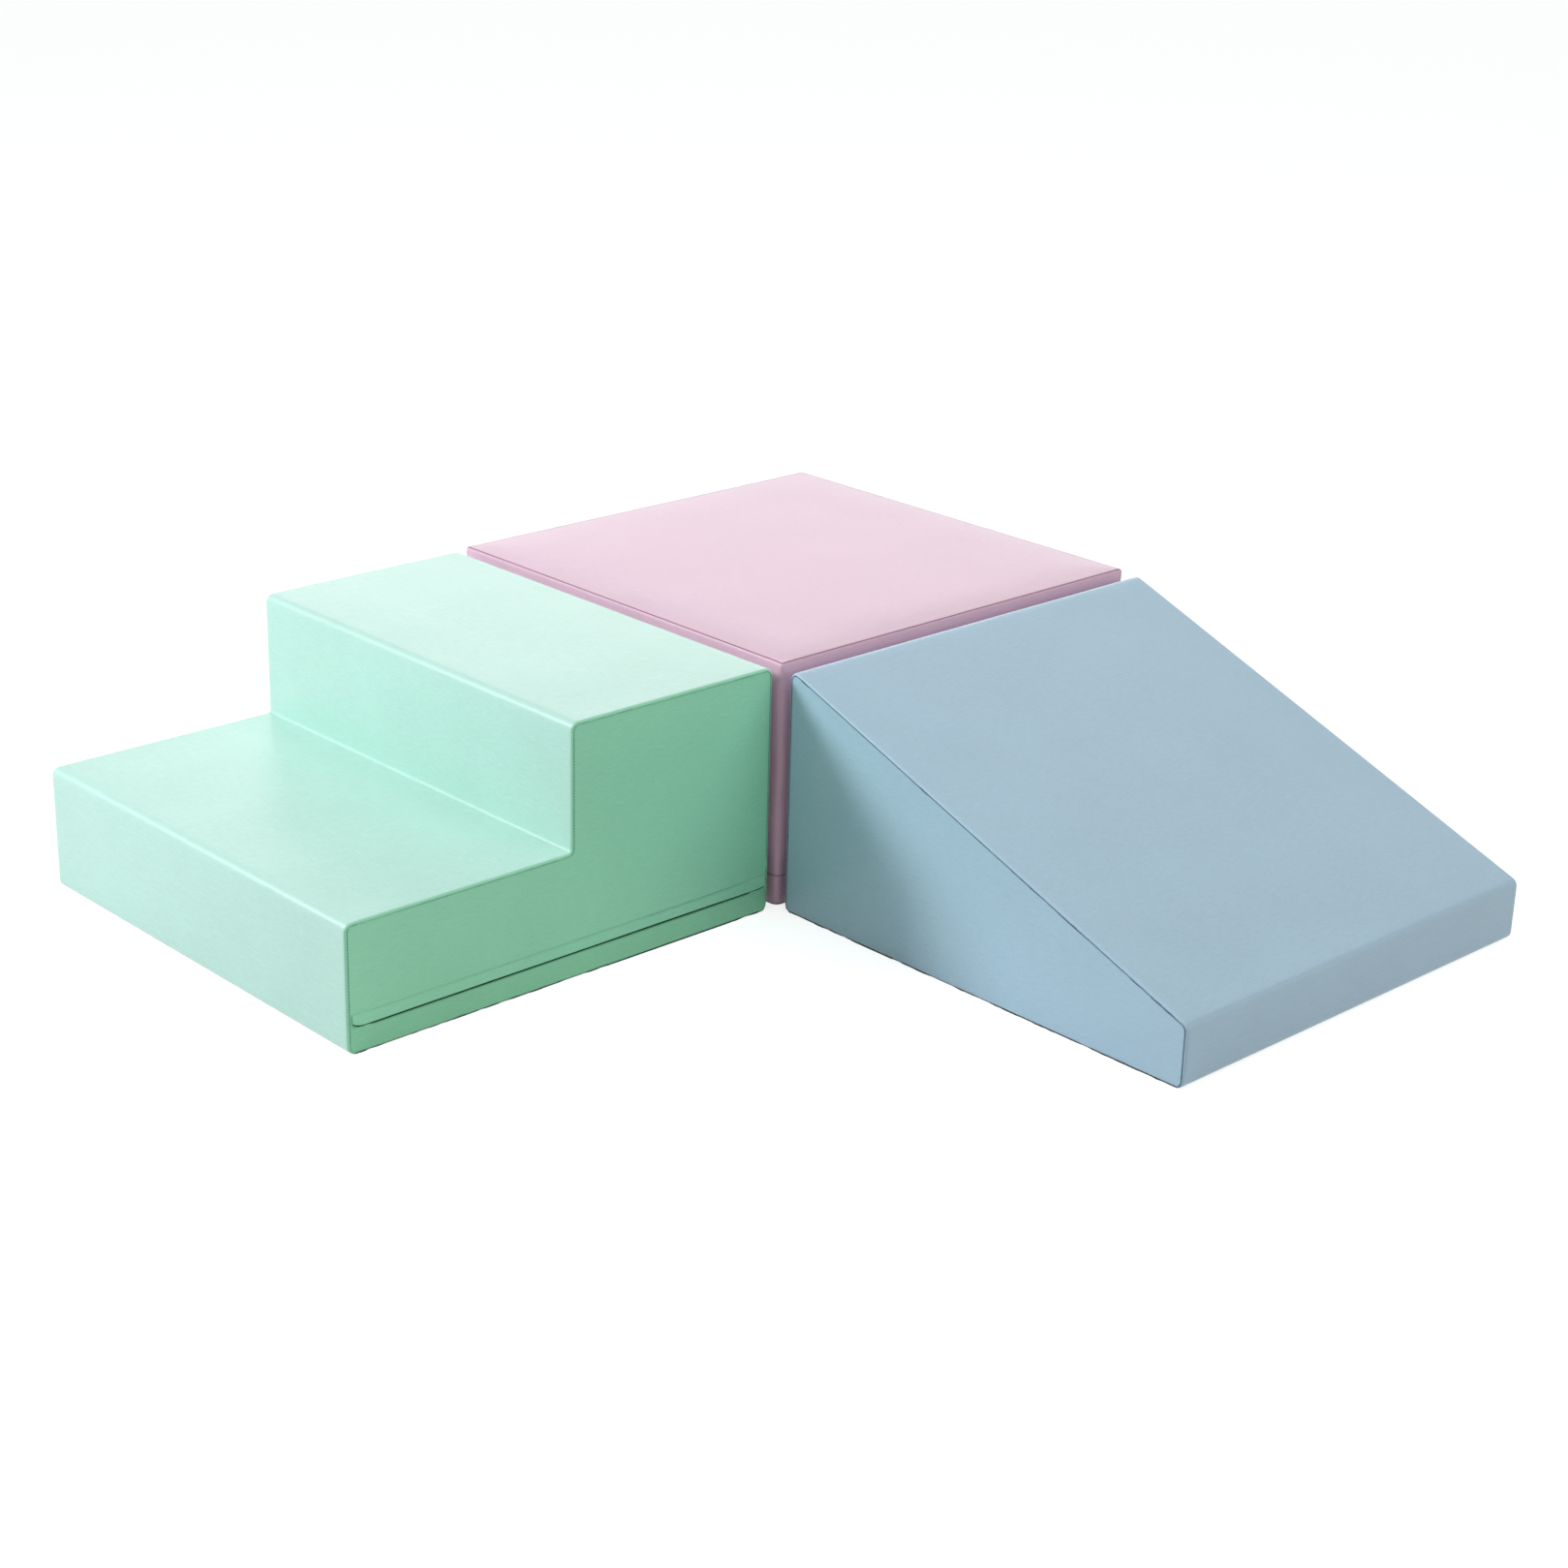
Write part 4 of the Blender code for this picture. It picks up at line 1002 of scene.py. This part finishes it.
# Zip tapes: narrow woven polyester bands in the colour of the cover, sewn behind it. The CAD bands keep their
# shape and get a herringbone weave.

weave, given, leave = new_group(
    "tape_weave",
    {"Colour": (0.5, 0.5, 0.5, 1), "Shadow": (0.2, 0.2, 0.2, 1)},
    {"Colour": "Color", "Height": "Float"},
)
place = object_place(weave)
threads = []
for way in ("X", "Z", "Y"):
    wave = add_node(weave, "TexWave", {"Vector": place, "Scale": 330, "Distortion": 0.6}, bands_direction=way)
    threads.append(wave.outputs["Fac"])
crossing = math_node(weave, "MULTIPLY", math_node(weave, "MAXIMUM", threads[0], threads[2]), threads[1])
raised = math_node(weave, "POWER", crossing, 0.5)
woven_tone = mix_colours(weave, raised, given["Shadow"], given["Colour"])
set_inputs(weave, leave, {"Colour": woven_tone, "Height": raised})


def woven(name, colour, shadow, depth):
    made, tree, skin = new_material(name, {"Roughness": 0.75, "Sheen Weight": 0.2})
    dyes = {"Colour": (*colour, 1), "Shadow": (*shadow, 1)}
    pattern = add_node(tree, "Group", dyes, node_tree=weave).outputs
    set_inputs(tree, skin, {"Base Color": pattern["Colour"]})
    emboss(tree, skin, pattern["Height"], depth)
    return made


tapes = {
    "steps": woven("mint_zip_tape", (0.34, 0.70, 0.54), (0.16, 0.38, 0.27), 0.00015),
    "ramp": woven("blue_zip_tape", (0.34, 0.49, 0.60), (0.15, 0.23, 0.30), 0.00015),
    "platform": woven("pink_zip_tape", (0.70, 0.45, 0.56), (0.36, 0.20, 0.27), 0.00015),
}
for block, finish in tapes.items():
    for label in ("upper", "lower"):
        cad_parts[f"{block}_zip_tape_{label}"].data.materials.clear()
        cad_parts[f"{block}_zip_tape_{label}"].data.materials.append(finish)


# Zip coils: a stiff nylon line wound into loops, one row sewn to each tape. Each loop is modelled on its own,
# and the two rows face each other across the slit that the slider runs in.

coil_nylon, tree, nylon = new_material("coil_nylon", {"Roughness": 0.35, "Coat Weight": 0.2})
mottle = add_node(tree, "TexNoise", {"Vector": object_place(tree), "Scale": 900})
nylon_tone = mix_colours(tree, mottle.outputs["Fac"], (0.50, 0.52, 0.50, 1), (0.72, 0.74, 0.72, 1))
set_inputs(tree, nylon, {"Base Color": nylon_tone})

zip_rise = 0.007
zip_heights = {block: height + zip_rise for block, height in band_heights.items()}
coil_pitch, coil_depth, loop_half_width, loop_half_depth = 0.0016, 0.00405, 0.00055, 0.00070
loop_rings = ((0.00040, 0.55), (0.0009, 1.0), (0.0017, 1.0), (0.0022, 0.7))
for block, half_coil in coil_halves.items():
    for label, way in (("upper", 1), ("lower", -1)):
        places, polygons = [], []
        for i in range(int(2 * half_coil / coil_pitch)):
            x = -half_coil + coil_pitch * (i + (0.3 if way > 0 else 0.7))
            base = len(places)
            for reach, size in loop_rings:
                height = zip_heights[block] + way * reach
                for k in range(6):
                    angle = math.pi * k / 3
                    depth = coil_depth + loop_half_depth * size * math.sin(angle)
                    spot = (x + loop_half_width * size * math.cos(angle), depth, height)
                    places.append(faces[block] @ Vector(spot))
            polygons += [[base + v for v in face] for face in sweep_faces(4, 6)]
        solid_from(f"{block}_coil_row_{label}", places, polygons, coil_nylon, block,
                   f"{colours[block]}_zip_tape", f"{block}_zip_coil_{label}")


# Zip sliders and end stops: die-cast zinc. The sliders have no pull, so that small hands can't open the
# cover; two plates joined by a neck hold the coils, with turned-in lips and a slot for the opening clip.

zinc, tree, metal = new_material("zinc", {"Metallic": 1.0})
scuff = add_node(tree, "TexNoise", {"Vector": object_place(tree), "Scale": 700, "Detail": 5})
scuffed = scuff.outputs["Fac"]
set_inputs(tree, metal, {
    "Base Color": mix_colours(tree, scuffed, (0.48, 0.48, 0.47, 1), (0.70, 0.70, 0.69, 1)),
    "Roughness": math_node(tree, "MULTIPLY", scuffed, 0.7),
})


def plate(outline, near, far, bevel=0.0003):
    """Points and faces of a flat plate with bevelled rims. outline is in X and Z, near and far are depths."""
    middle = sum((Vector(p) for p in outline), Vector((0, 0))) / len(outline)
    places = []
    for depth, inset in ((near, bevel), (near + bevel, 0.0), (far - bevel, 0.0), (far, bevel)):
        for p in outline:
            point = Vector(p) - (Vector(p) - middle).normalized() * inset
            places.append((point.x, depth, point.y))
    return places, sweep_faces(4, len(outline))


def mirrored(half_outline):
    return half_outline + [(x, -z) for x, z in half_outline[::-1]]


slider_plate = mirrored(
    [(0.0, 0.0036), (0.0010, 0.0046), (0.0030, 0.0050), (0.0090, 0.0048), (0.0125, 0.0040), (0.0140, 0.0030)]
)
slider_neck = [(0.0015, -0.0003), (0.0015, 0.0003), (0.0060, 0.0003), (0.0060, -0.0003)]
stop_clip = mirrored([(0.0, 0.0014), (0.0006, 0.0021), (0.0020, 0.0019), (0.0034, 0.0021), (0.0040, 0.0014)])
slider_parts = [plate(slider_plate, 0.00180, 0.00300), plate(slider_plate, 0.00510, 0.00630)]
slider_parts.append(plate(slider_neck, 0.00290, 0.00520, 0.0001))
for way in (1, -1):
    for near, far in ((0.0029, 0.0035), (0.0046, 0.0052)):
        lip = [(0.0030, way * 0.0044), (0.0030, way * 0.0050), (0.0120, way * 0.0048), (0.0120, way * 0.0042)]
        slider_parts.append(plate(lip, near, far, 0.0001))
for block, half_coil in coil_halves.items():
    places, polygons = [], []
    for spots, sides in slider_parts:
        base = len(places)
        for x, depth, z in spots:
            places.append(faces[block] @ Vector((x - half_coil + 0.0003, depth, z + zip_heights[block])))
        polygons += [[base + v for v in face] for face in sides]
    solid_from(f"{block}_slider_body", places, polygons, zinc, f"{block}_slider", "zip_metal",
               f"{block}_zip_slider")
    for label, start in (("top", -half_coil - 0.0043), ("bottom", half_coil + 0.0003)):
        spots, sides = plate(stop_clip, 0.0033, 0.0048)
        places = [faces[block] @ Vector((x + start, depth, z + zip_heights[block])) for x, depth, z in spots]
        solid_from(f"{block}_{label}_stop_clip", places, sides, zinc, block, "zip_metal",
                   f"{block}_zip_{label}_stop")


# Seam thread: bonded polyester, a shade darker than the cover. It is sewn in short even stitches that lie
# down in the seams.

threads = {
    "steps": leatherette("mint_thread", (0.06, 0.26, 0.14), (0.05, 0.20, 0.11), sheen=0.05),
    "ramp": leatherette("blue_thread", (0.06, 0.11, 0.19), (0.04, 0.09, 0.14), sheen=0.05),
    "platform": leatherette("pink_thread", (0.26, 0.08, 0.14), (0.20, 0.07, 0.11), sheen=0.05),
}
stitch_length, stitch_pitch, stitch_rise, thread_radius = 0.0024, 0.0034, 0.00075, 0.00035
stitch_rings = ((-1.0, 0.35, 0.0003), (-0.7, 1.0, 0.0), (0.7, 1.0, 0.0), (1.0, 0.35, 0.0003))


def stitch_row(path, places, polygons):
    """Adds stitches along a path of points and outward directions."""
    points = [p for p, _ in path]
    steps_along = [0.0]
    for a, b in zip(points, points[1:]):
        steps_along.append(steps_along[-1] + (b - a).length)
    count = int(steps_along[-1] / stitch_pitch)
    j = 0
    for i in range(count):
        start = (i + 0.5) * steps_along[-1] / count
        while steps_along[j + 1] < start:
            j += 1
        share = (start - steps_along[j]) / max(1e-9, steps_along[j + 1] - steps_along[j])
        spot = points[j].lerp(points[j + 1], share)
        out = path[j][1].lerp(path[j + 1][1], share).normalized()
        ahead = (points[j + 1] - points[j]).normalized()
        over = out.cross(ahead).normalized()
        base = len(places)
        for reach, size, sink in stitch_rings:
            centre = spot + ahead * reach * stitch_length / 2 + out * (stitch_rise - sink)
            for k in range(4):
                angle = math.pi / 2 * k + math.pi / 4
                sideways = over * math.cos(angle) + out * math.sin(angle)
                places.append(centre + sideways * thread_radius * size)
        polygons += [[base + v for v in face] for face in sweep_faces(4, 4)]


for block, paths in (("steps", steps_paths), ("ramp", ramp_paths), ("platform", platform_paths)):
    places, polygons = [], []
    for path in paths:
        stitch_row(path, places, polygons)
    solid_from(f"{block}_seam_stitches", places, polygons, threads[block], block,
               f"{colours[block]}_leatherette")


# Hook-and-loop strips: woven tape with a pile of loops on the platform and of small hooks on the other two
# blocks, sewn on along all four sides. They hold the blocks together and let go when a block is pulled.

piles = {
    "loop_tape": woven("loop_tape", (0.86, 0.86, 0.86), (0.60, 0.60, 0.60), 0.0004),
    "hook_tape": woven("hook_tape", (0.80, 0.80, 0.80), (0.55, 0.55, 0.55), 0.0003),
}
corner_radius, hook_margin, hook_height = 0.004, 0.0045, 0.0007
hook_columns, hook_rows = 18, 40
hook_rings = (
    (-0.0001, 0.00032, 0.0), (0.00035, 0.00022, 0.0), (0.00055, 0.00034, 0.00025), (0.00068, 0.00012, 0.0004),
)


def strip_pad(low, high, out_axis, out_way, thickness):
    """A strip with rounded corners and a hemmed rim. It reaches a little back into the crowned cover."""
    u_axis = 1 - out_axis
    half_u, half_z = (high[u_axis] - low[u_axis]) / 2, (high[2] - low[2]) / 2
    centre_u, centre_z = (high[u_axis] + low[u_axis]) / 2, (high[2] + low[2]) / 2
    back = low[out_axis] if out_way > 0 else high[out_axis]
    rim = []
    for cu, cz, first in ((1, 1, 0), (-1, 1, 1), (-1, -1, 2), (1, -1, 3)):
        for k in range(5):
            angle = math.pi / 2 * (first + k / 4)
            middle = (cu * (half_u - corner_radius), cz * (half_z - corner_radius))
            rim.append((*middle, math.cos(angle), math.sin(angle)))
    places = []
    levels = ((-0.0016, 0.0), (thickness * 0.55, 0.0), (thickness * 0.8, 0.0005), (thickness * 0.8, 0.0022),
              (thickness, 0.0030))
    for height, inset in levels:
        for u, z, du, dz in rim:
            spot = [0.0, 0.0, centre_z + z + dz * (corner_radius - inset)]
            spot[u_axis] = centre_u + u + du * (corner_radius - inset)
            spot[out_axis] = back + out_way * height
            places.append(spot)
    return places, sweep_faces(len(levels), len(rim))


def add_hooks(places, polygons, low, high, out_axis, top, out_way):
    """Covers a strip with small bent hooks in staggered rows."""
    u_axis = 1 - out_axis
    wide, tall = high[u_axis] - low[u_axis] - 2 * hook_margin, high[2] - low[2] - 2 * hook_margin
    for i in range(hook_columns):
        u = low[u_axis] + hook_margin + wide * i / (hook_columns - 1)
        for k in range(hook_rows):
            z = low[2] + hook_margin + tall * (k + 0.5 * (i % 2)) / hook_rows
            base = len(places)
            for height, size, lean in hook_rings:
                for m in range(3):
                    angle = 2 * math.pi * m / 3
                    spot = [0.0, 0.0, z + size * math.sin(angle) + lean]
                    spot[u_axis] = u + size * math.cos(angle)
                    spot[out_axis] = top + out_way * height
                    places.append(spot)
            polygons += [[base + v for v in face] for face in sweep_faces(4, 3)]


for block, kind, slot_name, out_axis in (
    ("platform", "steps_loop", "loop_tape", 0), ("platform", "ramp_loop", "loop_tape", 1),
    ("steps", "hook", "hook_tape", 0), ("ramp", "hook", "hook_tape", 1),
):
    for label in ("left", "right"):
        node = f"{block}_{kind}_strip_{label}"
        low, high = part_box(node)
        out_way = -1 if block == "platform" else 1
        thickness = high[out_axis] - low[out_axis] - (hook_height if kind == "hook" else 0.0)
        places, polygons = strip_pad(low, high, out_axis, out_way, thickness)
        if kind == "hook":
            add_hooks(places, polygons, low, high, out_axis, low[out_axis] + thickness, out_way)
        name = node.replace("_strip", "_fastener")
        solid_from(name, places, polygons, piles[slot_name], block, slot_name, node)
